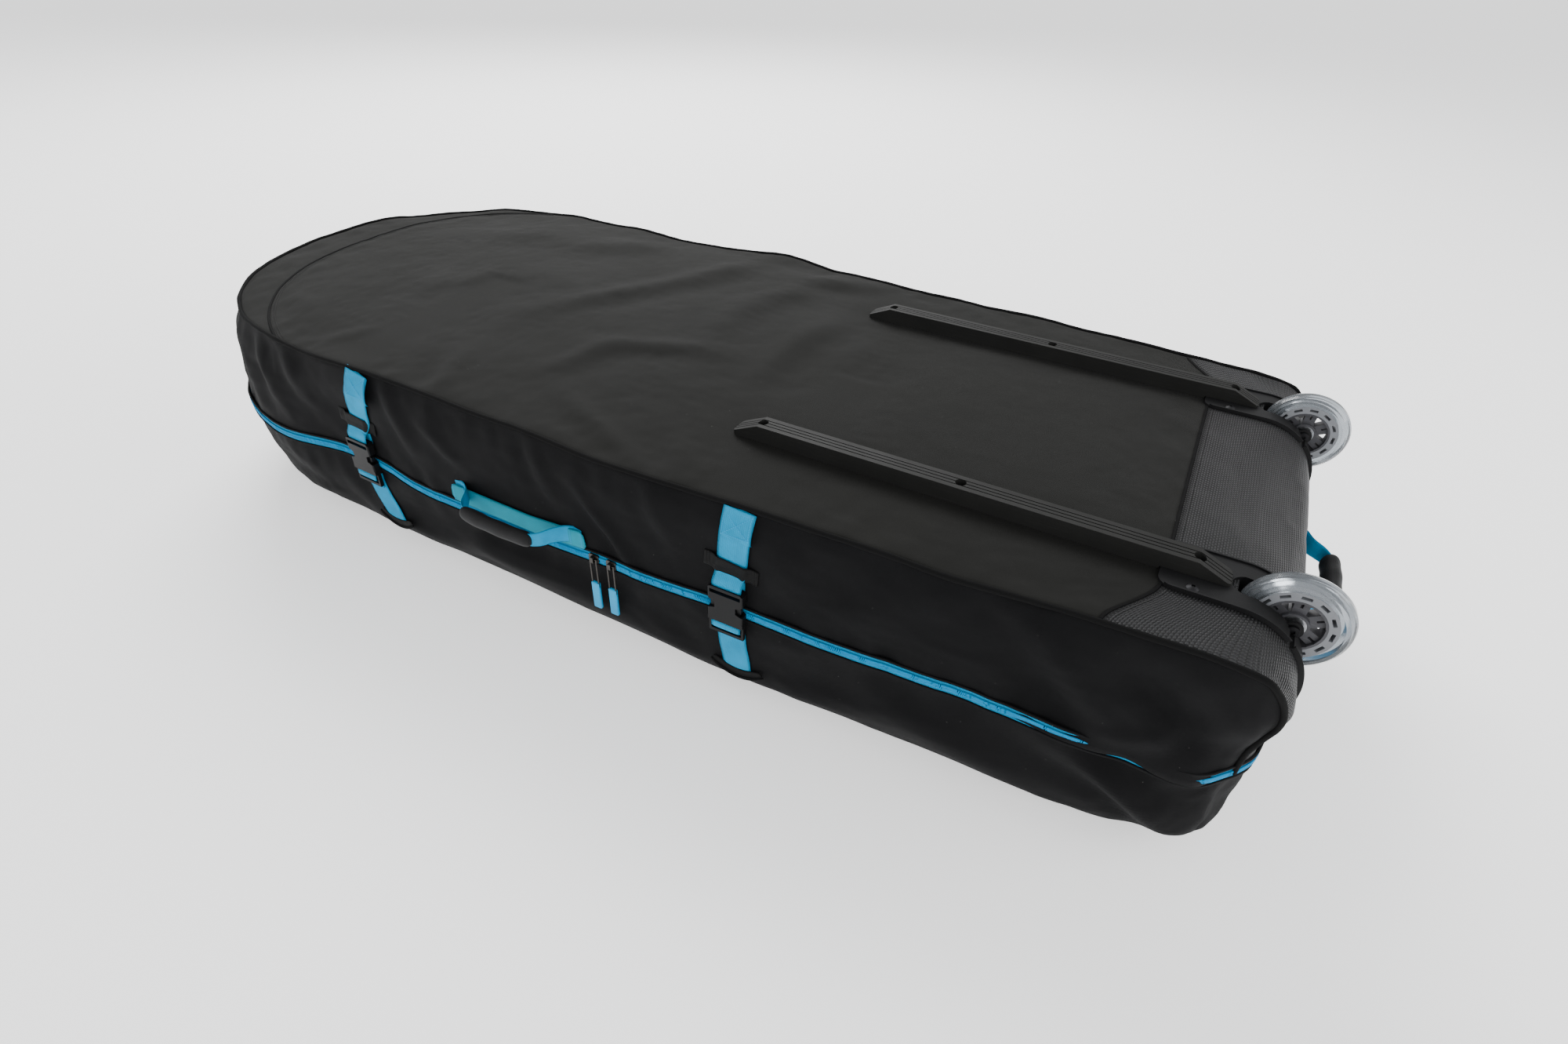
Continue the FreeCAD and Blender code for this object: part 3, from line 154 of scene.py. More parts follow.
def settle(points):
    """Points of the plain solids, moved to where the stuffed cloth has them."""
    points = np.array(points, float)
    x, y, z = points[:, 0].copy(), points[:, 1].copy(), points[:, 2].copy()
    radius = np.hypot(x - NOSE_X, y)
    nose = 1 - smooth(x, -0.52, -0.40)
    edge = np.where(x < NOSE_X, radius / NOSE_RADIUS, np.abs(y) / half_width(x))
    edge = np.clip(edge, 0, 1.05)
    level = np.clip(z / TOP, 0, 1)
    middle = 4 * level * (1 - level)
    near = smooth(-y, 0.0, 0.08)
    out_x = np.where(x < NOSE_X, (x - NOSE_X) / np.maximum(radius, 1e-6), 0)
    out_y = np.where(x < NOSE_X, y / np.maximum(radius, 1e-6), np.sign(y))
    # the nose is stuffed full, and its near side is squarer than a half circle
    turn = np.degrees(np.arctan2(np.abs(y), np.maximum(NOSE_X - x, -1)))
    side_reach = np.where(y < 0, 1.0, 0.35)
    swell = nose * middle * NOSE_SWELL * edge ** 6
    square = NOSE_SQUARE * bell(turn, 52, 24) * side_reach * edge ** 3 * (1 - smooth(x, -0.50, -0.42))
    square *= 0.2 + 0.8 * middle
    # the sides swell between the straps, and the straps hold them back
    held = np.maximum(beside_straps(x, 0.075), smooth(x, 0.60, 0.72))
    handle = bell(x, HANDLE_X, 0.13)
    side = (1 - nose) * middle * edge ** 8 * SIDE_SWELL * (1 - held) * (1 - 0.8 * handle * near)
    # just below the top seam the wall rolls outward
    roll = WALL_ROLL * bell(z, TOP - 0.036, 0.026) * edge ** 8 * (1 - smooth(x, 0.66, 0.76))
    points[:, 0] += out_x * (swell + square + roll)
    points[:, 1] += out_y * (swell + square + roll + side)
    # the near top edge leans out in two places
    lean = EDGE_LEAN * (bell(x, -0.40, 0.10) + 0.8 * bell(x, 0.09, 0.08)) * near * edge ** 4 * smooth(z, 0.18, TOP)
    points[:, 1] -= lean
    # the far top edge is lifted where the stuffing is highest
    far = smooth(y, 0.0, 0.08) * edge ** 4 * smooth(z, 0.18, TOP) * bell(x, -0.04, 0.09)
    points[:, 1] += EDGE_LEAN * far
    points[:, 2] += 0.007 * far
    # the zip line rises and falls along the near side
    line = np.interp(x, [-0.55, -0.34, -0.25, -0.05, 0.05, 0.24, 0.45, 0.58, 0.70, 0.78],
                     [0.000, 0.002, -0.008, -0.009, 0.0, 0.0, 0.009, 0.014, 0.006, 0.003])
    points[:, 2] += line * bell(z, PARTING, 0.055) * near * smooth(edge, 0.75, 0.95) * (1 - beside_straps(x, 0.03))
    # the top seam rises and dips between its puckers
    ring = smooth(z, TOP - 0.05, TOP) * smooth(edge, 0.86, 1.0) * (1 - smooth(x, 0.45, 0.60))
    points[:, 2] += SEAM_SWAY * ring * waviness(np.column_stack([x, y, np.zeros(len(x))]), 0.21, 23, 2)
    # the top panel crowns a little between seams, away from the rails and housings
    crown = (1 - smooth(x, 0.02, 0.15)) * (1 - edge ** 2) * TOP_CROWN
    points[:, 2] += crown * smooth(z, TOP - 0.03, TOP)
    return points


# soft folds: start and end on the panel, half-width and height; top in (x, y), near side in (x, z)
TOP_FOLDS = [
    ((-0.23, -0.04), (-0.14, 0.12), 0.022, 0.0052), ((-0.14, 0.11), (-0.08, 0.27), 0.026, 0.0058),
    ((-0.11, -0.20), (-0.08, -0.10), 0.020, 0.0046), ((-0.09, -0.11), (0.04, -0.05), 0.018, 0.0044),
    ((0.13, -0.09), (0.12, 0.05), 0.022, 0.0042), ((0.12, 0.03), (0.14, 0.15), 0.026, 0.0040),
    ((-0.03, -0.25), (0.10, -0.31), 0.015, 0.0048), ((0.00, 0.10), (0.05, 0.25), 0.028, 0.0050),
    ((0.02, -0.02), (0.00, 0.10), 0.024, 0.0036), ((-0.38, 0.18), (-0.26, 0.26), 0.032, 0.0042),
    ((-0.46, -0.08), (-0.34, 0.02), 0.040, 0.0034), ((-0.60, -0.20), (-0.50, -0.25), 0.024, 0.0036),
    ((-0.24, -0.22), (-0.19, -0.31), 0.017, 0.0045), ((0.12, -0.24), (0.17, -0.31), 0.016, 0.0040),
    ((-0.58, 0.12), (-0.42, 0.22), 0.040, 0.0036), ((0.36, 0.06), (0.30, -0.14), 0.060, 0.0022),
    ((-0.42, -0.29), (-0.37, -0.22), 0.016, 0.0032), ((0.02, 0.26), (0.14, 0.30), 0.022, 0.0045),
]
SIDE_FOLDS = [
    ((-0.62, 0.28), (-0.57, 0.19), 0.018, 0.0040), ((-0.53, 0.27), (-0.50, 0.18), 0.016, 0.0034),
    ((-0.46, 0.27), (-0.43, 0.20), 0.016, 0.0030), ((-0.27, 0.28), (-0.24, 0.19), 0.014, 0.0036),
    ((-0.21, 0.25), (-0.15, 0.20), 0.012, 0.0034), ((-0.03, 0.28), (0.00, 0.21), 0.014, 0.0034),
    ((0.04, 0.24), (0.09, 0.17), 0.010, 0.0048), ((0.075, 0.20), (0.105, 0.15), 0.007, 0.0038),
    ((0.14, 0.27), (0.17, 0.20), 0.014, 0.0030), ((0.32, 0.27), (0.29, 0.19), 0.020, 0.0034),
    ((0.46, 0.26), (0.38, 0.19), 0.026, 0.0036), ((0.55, 0.28), (0.63, 0.20), 0.020, 0.0050),
    ((0.655, 0.25), (0.735, 0.17), 0.013, -0.0080), ((0.70, 0.27), (0.77, 0.20), 0.016, 0.0045),
    ((0.60, 0.22), (0.68, 0.16), 0.018, 0.0040), ((0.64, 0.16), (0.73, 0.20), 0.012, 0.0030),
    ((-0.42, 0.10), (-0.30, 0.04), 0.024, 0.0034),
    ((-0.20, 0.10), (-0.04, 0.05), 0.030, 0.0034), ((0.08, 0.09), (0.20, 0.04), 0.026, 0.0030),
    ((0.40, 0.10), (0.55, 0.05), 0.026, 0.0038), ((0.58, 0.13), (0.74, 0.07), 0.018, 0.0056),
    ((0.66, 0.10), (0.77, 0.02), 0.014, 0.0052),
]


def fold_height(first, second, folds):
    """Height of the soft folds at places on a panel."""
    height = np.zeros(len(first))
    for start, end, width, rise in folds:
        along = np.subtract(end, start)
        length = np.hypot(*along)
        part = ((first - start[0]) * along[0] + (second - start[1]) * along[1]) / length ** 2
        across = ((first - start[0]) * along[1] - (second - start[1]) * along[0]) / length
        ends = bell(part, 0.5, 0.55)
        height += rise * ends * (bell(across, 0, width) - 0.55 * bell(across, 1.7 * width, width))
    return height


def waviness(points, size, seed, octaves=3):
    """Smooth unevenness between about -1 and 1, the same on every run."""
    rng = np.random.default_rng(seed)
    total = np.zeros(len(points))
    for octave in range(octaves):
        for _ in range(6):
            way = rng.normal(size=3)
            way *= 2 ** octave / size / np.linalg.norm(way)
            total += np.sin(2 * np.pi * (points @ way) + rng.uniform(0, 6.28)) / (6 * 1.7 ** octave) ** 0.5 * 0.5
    return total


# ---------------------------------------------------------------- meshes

def read(items, key, width=1, kind=float):
    """One number or row for each item of mesh data."""
    values = np.empty(len(items) * width, kind)
    items.foreach_get(key, values)
    return values.reshape(-1, width) if width > 1 else values


def add_mesh(name, vertices, faces, material=None, uvs=None):
    """A smooth mesh object; uvs is one pair for each vertex."""
    mesh = bpy.data.meshes.new(name)
    mesh.from_pydata([tuple(v) for v in np.asarray(vertices, float)], [], [tuple(int(i) for i in f) for f in faces])
    if uvs is not None:
        layer = mesh.uv_layers.new(name="weave")
        corners = read(mesh.loops, "vertex_index", kind=int)
        layer.data.foreach_set("uv", np.asarray(uvs, float)[corners].ravel())
    mesh.polygons.foreach_set("use_smooth", [True] * len(mesh.polygons))
    if material is not None:
        mesh.materials.append(material)
    mesh.update()
    thing = bpy.data.objects.new(name, mesh)
    SCENE.collection.objects.link(thing)
    return thing


def grid_faces(rows, columns, offset=0, around=False):
    """Quads over a rows x columns block of vertices; around closes the columns into a ring."""
    faces = []
    last = columns if around else columns - 1
    for row in range(rows - 1):
        for column in range(last):
            right = (column + 1) % columns
            faces.append((offset + row * columns + column, offset + row * columns + right,
                          offset + (row + 1) * columns + right, offset + (row + 1) * columns + column))
    return faces


def path_lengths(path):
    """How far along a path each of its points is."""
    return np.concatenate([[0], np.cumsum(np.linalg.norm(np.diff(path, axis=0), axis=1))])


def resample(path, step):
    """Points evenly spaced along a path."""
    lengths = path_lengths(path)
    at = np.linspace(0, lengths[-1], max(int(round(lengths[-1] / step)) + 1, 2))
    return np.column_stack([np.interp(at, lengths, path[:, axis]) for axis in range(path.shape[1])])


def curve_through(points, per_span=10):
    """A smooth curve through given points."""
    points = np.asarray(points, float)
    padded = np.vstack([2 * points[0] - points[1], points, 2 * points[-1] - points[-2]])
    steps = np.linspace(0, 1, per_span, endpoint=False)[:, None]
    pieces = []
    for index in range(1, len(padded) - 2):
        a, b, c, d = padded[index - 1:index + 3]
        pieces.append(0.5 * (2 * b + (c - a) * steps + (2 * a - 5 * b + 4 * c - d) * steps ** 2
                             + (3 * b - a - 3 * c + d) * steps ** 3))
    return np.vstack(pieces + [points[-1:]])


def unit(vectors):
    return vectors / np.maximum(np.linalg.norm(vectors, axis=-1, keepdims=True), 1e-9)


def directions(path):
    """Unit directions along a path."""
    return unit(np.gradient(path, axis=0))


def frame_along(path, outward):
    """Unit directions ahead, to the side and out at each point of a path."""
    ahead = directions(path)
    side = unit(np.cross(outward, ahead))
    return ahead, side, unit(np.cross(ahead, side))


def capped_tube(rows, columns, inward=False):
    """Faces of a tube of vertex rings with both ends closed."""
    faces = [face[::-1] for face in grid_faces(rows, columns, around=True)]
    faces += [tuple(range(columns)), tuple(reversed(range((rows - 1) * columns, rows * columns)))]
    return [face[::-1] for face in faces] if inward else faces


def sweep(name, path, outward, section, material, scale=None):
    """A section of (side, out) points carried along a path whose outward directions are given; ends are capped."""
    outward = np.broadcast_to(outward, path.shape)
    _, side, out = frame_along(path, outward)
    scale = np.ones(len(path)) if scale is None else scale
    if scale.ndim == 1:
        scale = np.column_stack([scale, scale])
    points = (path[:, None, :] + side[:, None, :] * (section[None, :, 0:1] * scale[:, None, 0:1])
              + out[:, None, :] * (section[None, :, 1:2] * scale[:, None, 1:2])).reshape(-1, 3)
    uvs = np.column_stack([np.repeat(path_lengths(path), len(section)), np.tile(section[:, 0], len(path))])
    return add_mesh(name, points, capped_tube(len(path), len(section)), material, uvs)


def round_section(radius, sides=8):
    angles = np.linspace(0, 2 * np.pi, sides, endpoint=False)
    return np.column_stack([np.cos(angles), np.sin(angles)]) * radius


def band_section(width, thick, across=8):
    """A flat band with soft edges."""
    side = np.linspace(-1, 1, across + 1)
    edge = np.sqrt(np.clip(1 - np.abs(side) ** 14, 0, 1)) * thick / 2
    top = np.column_stack([side * width / 2, edge])
    low = np.column_stack([side[::-1] * width / 2, -edge[::-1]])
    return np.vstack([top, low[1:-1]])


def merge(name, parts):
    """One object from several, with their vertices and UVs."""
    vertices, faces, uvs, offset = [], [], [], 0
    material = parts[0].data.materials[0]
    for part in parts:
        mesh = part.data
        vertices.append(corners_of(part))
        faces.extend([tuple(i + offset for i in poly.vertices) for poly in mesh.polygons])
        corner_uv = np.zeros((len(mesh.vertices), 2))
        corner_uv[read(mesh.loops, "vertex_index", kind=int)] = read(mesh.uv_layers[0].data, "uv", 2)
        uvs.append(corner_uv)
        offset += len(mesh.vertices)
        bpy.data.objects.remove(part)
    return add_mesh(name, np.vstack(vertices), faces, material, np.vstack(uvs))


def soften(thing):
    """Subdivides a mesh for good."""
    modifier = thing.modifiers.new("soften", "SUBSURF")
    modifier.levels = 1
    modifier.render_levels = 1
    modifier.boundary_smooth = "PRESERVE_CORNERS"
    return settle_modifiers(thing)


def settle_modifiers(thing):
    """Writes a mesh's modifiers into its mesh."""
    graph = bpy.context.evaluated_depsgraph_get()
    done = bpy.data.meshes.new_from_object(thing.evaluated_get(graph), preserve_all_data_layers=True, depsgraph=graph)
    thing.modifiers.clear()
    old = thing.data
    thing.data = done
    bpy.data.meshes.remove(old)
    return thing


def corners_of(thing):
    return read(thing.data.vertices, "co", 3)


def place_corners(thing, points):
    thing.data.vertices.foreach_set("co", points.ravel())
    thing.data.update()


def normals_of(thing):
    thing.data.update()
    return read(thing.data.vertices, "normal", 3)


# ---------------------------------------------------------------- the cloth shell

def round_tail(x, y):
    """Turns the square tail corners of the plan into round ones."""
    room = TAIL_CORNER + CORNER_SOFT
    half = half_width(x)
    a = np.clip((x - (TAIL - room)) / room, 0, 1)
    b = np.clip((np.abs(y) - (half - room)) / room, 0, 1)
    inside = (a > 0) & (b > 0)
    new_x = np.where(inside, TAIL - room + room * a * np.sqrt(1 - b ** 2 / 2), x)
    new_y = np.where(inside, np.sign(y) * (half - room + room * b * np.sqrt(1 - a ** 2 / 2)), y)
    return new_x, new_y


ACROSS = np.linspace(-1, 1, COLUMNS + 1)


def top_grid():
    """Plan places and heights of the top panel's grid, nose row first, down to the end of the tail's bend."""
    rows = []
    nose_rows = int(round(NOSE_RADIUS / CELL))
    for a in np.linspace(-1, 0, nose_rows, endpoint=False):
        rows.append((NOSE_X + NOSE_RADIUS * a * np.sqrt(1 - ACROSS ** 2 / 2),
                     NOSE_RADIUS * ACROSS * np.sqrt(1 - a ** 2 / 2), np.full(COLUMNS + 1, TOP)))
    bend = TAIL - TAIL_ROUND
    for x in np.linspace(NOSE_X, bend, int(round((bend - NOSE_X) / CELL)) + 1):
        rows.append((np.full(COLUMNS + 1, x), ACROSS * half_width(x), np.full(COLUMNS + 1, TOP)))
    for turn in np.linspace(0, np.pi / 2, 12)[1:]:
        x = bend + TAIL_ROUND * np.sin(turn)
        z = TOP - TAIL_ROUND * (1 - np.cos(turn))
        rows.append((np.full(COLUMNS + 1, x), ACROSS * half_width(x), np.full(COLUMNS + 1, z)))
    x, y, z = (np.array([row[axis] for row in rows]) for axis in range(3))
    x, y = round_tail(x, y)
    return x, y, z


GRID_X, GRID_Y, GRID_Z = top_grid()
GRID_ROWS = len(GRID_X)
# the stations run along the top seam: up the near side, round the nose and back along the far side
STATIONS = ([(row, 0) for row in range(GRID_ROWS - 1, -1, -1)]
            + [(0, column) for column in range(1, COLUMNS + 1)]
            + [(row, COLUMNS) for row in range(1, GRID_ROWS)])
STATION_X = np.array([GRID_X[place] for place in STATIONS])
STATION_Y = np.array([GRID_Y[place] for place in STATIONS])
STATION_Z = np.array([GRID_Z[place] for place in STATIONS])
STATION_S = np.concatenate([[0], np.cumsum(np.hypot(np.diff(STATION_X), np.diff(STATION_Y)))])


def patch_front(y):
    """x of the ribbed patch's front seam: straight, then curving forward to the side seams."""
    reach = smooth(np.abs(y), 0.225, 0.316)
    return PATCH_X - 0.042 * reach ** 1.15


def base_shell():
    """The base half as one mesh: vertices, faces, the panel of each face, and cloth places for the weave."""
    width = COLUMNS + 1
    count = GRID_ROWS * width
    # rows near the patch seam bend with it, so that the seam runs along a row
    row = int(np.argmin(np.abs(GRID_X[:, COLUMNS // 2] - PATCH_X)))
    pull = (patch_front(GRID_Y[row]) - GRID_X[row]) * bell(np.arange(GRID_ROWS), row, 10)[:, None]
    seam_x = GRID_X + pull * (GRID_Z > TOP - 0.001)
    flat = np.column_stack([seam_x.ravel(), GRID_Y.ravel(), GRID_Z.ravel()])
    tail_rows = np.linspace(GRID_Z[-1, 0], PARTING + ZIP_GAP, WALL_ROWS + 1)[1:]
    tail = [np.column_stack([GRID_X[-1], GRID_Y[-1], np.full(width, z)]) for z in tail_rows]
    points = [flat] + tail
    faces = []
    panels = []
    patch_last = GRID_ROWS - 1 + int(np.argmin(np.abs(tail_rows - PATCH_LOW))) + 1
    for face_row in range(GRID_ROWS - 1 + WALL_ROWS):
        for column in range(COLUMNS):
            first = face_row * width + column
            faces.append((first, first + width, first + width + 1, first + 1))
            panels.append("panel" if face_row < row else "patch" if face_row < patch_last else "tail")
    wall_start = count + WALL_ROWS * width
    last = len(STATIONS) - 1
    top_x = np.array([seam_x[place] for place in STATIONS])
    for step in range(1, WALL_ROWS + 1):
        part = step / WALL_ROWS
        level = STATION_Z + (PARTING + ZIP_GAP - STATION_Z) * part
        drift = top_x + (STATION_X - top_x) * smooth(part, 0, 0.6)
        points.append(np.column_stack([drift, STATION_Y, level])[1:last])

    def wall_index(step, station):
        if step == 0:
            return STATIONS[station][0] * width + STATIONS[station][1]
        if station in (0, last):
            return (GRID_ROWS - 1 + step) * width + STATIONS[station][1]
        return wall_start + (step - 1) * (last - 1) + station - 1

    for step in range(WALL_ROWS):
        for station in range(last):
            faces.append((wall_index(step, station), wall_index(step, station + 1),
                          wall_index(step + 1, station + 1), wall_index(step + 1, station)))
            panels.append("wall")
    points = np.vstack(points)
    seam = [wall_index(0, station) for station in range(last + 1)]
    seam = ([(GRID_ROWS - 1 + step) * width for step in range(WALL_ROWS, 0, -1)] + seam
            + [(GRID_ROWS - 1 + step) * width + COLUMNS for step in range(1, WALL_ROWS + 1)])
    zip_row = [wall_index(WALL_ROWS, station) for station in range(last + 1)]
    zip_row += [(GRID_ROWS - 1 + WALL_ROWS) * width + column for column in range(COLUMNS - 1, 0, -1)]
    patch_seam = [row * width + column for column in range(width)]
    low_seam = [patch_last * width + column for column in range(width)]
    return points, faces, panels, {"seam": seam, "zip": zip_row, "patch": patch_seam, "low": low_seam}


def lid_radius(x):
    """Radius of the lid's rounded lower edge, larger at the slack tail corner."""
    return LID_RADIUS + LID_SLACK_RADIUS * smooth(x, 0.62, 0.77)


def inset_plan(x, y, inset):
    """Plan places moved in from the outline."""
    nose = x < NOSE_X
    ratio = np.where(nose, (NOSE_RADIUS - inset) / NOSE_RADIUS, (half_width(x) - inset) / half_width(x))
    back = NOSE_X + (x - NOSE_X) * (TAIL - inset - NOSE_X) / (TAIL - NOSE_X)
    return np.where(nose, NOSE_X + (x - NOSE_X) * ratio, back), y * ratio


def lid_shell():
    """The lid half as one mesh: walls down from the zip, a soft lower edge and the bottom."""
    ring = [(place[0], place[1]) for place in STATIONS] + [(GRID_ROWS - 1, c) for c in range(COLUMNS - 1, 0, -1)]
    ring_x = np.array([GRID_X[place] for place in ring])
    ring_y = np.array([GRID_Y[place] for place in ring])
    radius = lid_radius(ring_x)
    rows = []
    for step in range(LID_ROWS):
        part = step / LID_ROWS
        rows.append(np.column_stack([ring_x, ring_y, (PARTING - ZIP_GAP) * (1 - part) + radius * part]))
    for turn in np.linspace(0, np.pi / 2, EDGE_ROWS + 1):
        inset_x, inset_y = inset_plan(ring_x, ring_y, radius * (1 - np.cos(turn)))
        rows.append(np.column_stack([inset_x, inset_y, radius * (1 - np.sin(turn))]))
    count = len(ring)
    points = np.vstack(rows)
    faces = [face[::-1] for face in grid_faces(len(rows), count, around=True)]
    panels = ["wall"] * len(faces)
    lowest = (len(rows) - 1) * count
    index_of = {place: lowest + index for index, place in enumerate(ring)}
    inner = [(row, column) for row in range(GRID_ROWS) for column in range(COLUMNS + 1)
             if (row, column) not in index_of]
    for index, place in enumerate(inner):
        index_of[place] = len(points) + index
    inner_x = np.array([GRID_X[place] for place in inner])
    inner_y = np.array([GRID_Y[place] for place in inner])
    flat_x, flat_y = inset_plan(inner_x, inner_y, lid_radius(inner_x))
    points = np.vstack([points, np.column_stack([flat_x, flat_y, np.zeros(len(inner))])])
    for row in range(GRID_ROWS - 1):
        for column in range(COLUMNS):
            faces.append((index_of[row, column], index_of[row, column + 1],
                          index_of[row + 1, column + 1], index_of[row + 1, column]))
            panels.append("floor")
    return points, faces, panels, {"zip": list(range(count)), "low": list(range(lowest, lowest + count))}


def face_outward(points, faces, middle):
    """Turns a shell's faces so that they look away from its middle."""
    sample = np.array([points[list(face)] for face in faces])
    normal = np.cross(sample[:, 2] - sample[:, 0], sample[:, 3] - sample[:, 1])
    away = sample.mean(axis=1) - middle
    away[:, 0] *= 0.25
    wrong = (normal * away).sum(axis=1) < 0
    return [face[::-1] if flip else face for face, flip in zip(faces, wrong)]


def beyond(value, centre, half):
    """How far a value lies outside a span, 0 inside it."""
    return np.maximum(np.abs(value - centre) - half, 0)


SEWN_HALF_HIGH = 0.016


def shell_distances(points):
    """How far each point is from the things that hold the cloth: rails, housings and straps, 0 on them."""
    x, y, z = points.T
    rail = np.hypot(np.maximum(RAIL_FRONT - x, 0), beyond(np.abs(y), RAIL_Y, RAIL_HALF))
    rail = np.where(z > TOP - 0.02, rail, 1)
    housing = np.hypot(np.maximum(HOUSING_FRONT - x, 0), beyond(np.abs(y), RAIL_Y, HOUSING_HALF))
    below = HOUSING_LOW - 0.012 - z
    housing = np.where(below < 0, housing, np.hypot(housing, below))
    off_near_side = np.where(y < 0, 0, 1)
    straps = np.minimum(*(np.abs(x - strap) for strap in STRAPS.values())) + off_near_side
    straps = np.maximum(np.minimum(straps, 1) - 0.024, 0)
    handle = np.hypot(beyond(x, HANDLE_X, HANDLE_HALF), beyond(z, HANDLE_Z, SEWN_HALF_HIGH)) + off_near_side
    tabs = np.hypot(beyond(np.abs(y), TAIL_TAB_Y, 0.022), beyond(z, TAIL_HANDLE_Z, SEWN_HALF_HIGH))
    tabs += np.where(x > TAIL - 0.02, 0, 1)
    return np.minimum.reduce([rail, housing, straps, handle, tabs])


def wrinkle(points, normals, distances, seams):
    """Moves a settled shell's points out and in: soft folds, unevenness and puckers at the seams."""
    x, y, z = points.T
    up = smooth(np.abs(normals[:, 2]), 0.55, 0.85)
    near = smooth(-normals[:, 1], 0.5, 0.8)
    loose = smooth(distances, 0.0, 0.03)
    height = up * fold_height(x, y, TOP_FOLDS)
    height += (1 - up) * near * 1.5 * fold_height(x, z, SIDE_FOLDS)
    far = smooth(normals[:, 1], 0.5, 0.8)
    height += (1 - up) * far * fold_height(-x + 0.1, z, SIDE_FOLDS)
    height += 0.0011 * waviness(points * np.array([1.0, 1.6, 1.3]), 0.34, 7, 2) * (0.8 + 0.4 * (1 - up))
    seam_gap = np.full(len(x), 1.0)
    for place in np.vstack([path[::2] for path in seams]):
        seam_gap = np.minimum(seam_gap, np.linalg.norm(points - place, axis=1))
    pucker = bell(seam_gap, 0.022, 0.024) * waviness(points * np.array([1, 1, 0.3]), 0.060, 11, 2)
    height += (0.0016 + 0.0014 * (1 - up)) * pucker
    height -= 0.0030 * bell(seam_gap, 0, 0.008)
    calm = smooth(seam_gap, 0.0, 0.02)
    moved = height * loose * (0.25 + 0.75 * calm)
    return points + normals * moved[:, None]


CLOTH_SETTINGS = {
    "quality": 5, "mass": 0.25, "air_damping": 3,
    "tension_stiffness": 25, "compression_stiffness": 12, "shear_stiffness": 6, "bending_stiffness": 5.0,
    "tension_damping": 12, "compression_damping": 12, "shear_damping": 12, "bending_damping": 4,
    "vertex_group_mass": "held", "vertex_group_shrink": "slack", "shrink_min": 0.0, "shrink_max": -0.012,
    "use_pressure": True, "uniform_pressure_force": 0.6,
}
CLOTH_FRAMES = 16
# cloth nearer than this to what holds it is pinned; how far the walls, and the pinned cloth, may move
HELD_REACH = 0.006
WALL_GIVE = 0.010
LEAST_GIVE = 0.0002


def inflate(shell, held, slack, cap):
    """Cloth simulation: the stuffed bag pushes its slack cloth out between the places that hold it."""
    for name, weights in (("held", held), ("slack", slack)):
        group = shell.vertex_groups.new(name=name)
        for index in np.flatnonzero(weights > 0):
            group.add([int(index)], float(weights[index]), "REPLACE")
    start = corners_of(shell)
    modifier = shell.modifiers.new("cloth", "CLOTH")
    for setting, value in CLOTH_SETTINGS.items():
        setattr(modifier.settings, setting, value)
    modifier.settings.effector_weights.gravity = 0.0
    modifier.collision_settings.use_collision = False
    for number in range(1, CLOTH_FRAMES + 1):
        SCENE.frame_set(number)
    graph = bpy.context.evaluated_depsgraph_get()
    shift = read(shell.evaluated_get(graph).to_mesh().vertices, "co", 3) - start
    shell.modifiers.remove(modifier)
    SCENE.frame_set(1)
    length = np.linalg.norm(shift, axis=1, keepdims=True)
    limit = cap[:, None]
    shift *= limit * np.tanh(length / np.maximum(limit, 1e-6)) / np.maximum(length, 1e-9)
    print("cloth moved up to", float(length.max()), "kept", float(np.linalg.norm(shift, axis=1).max()))
    place_corners(shell, start + shift)


# ---------------------------------------------------------------- materials

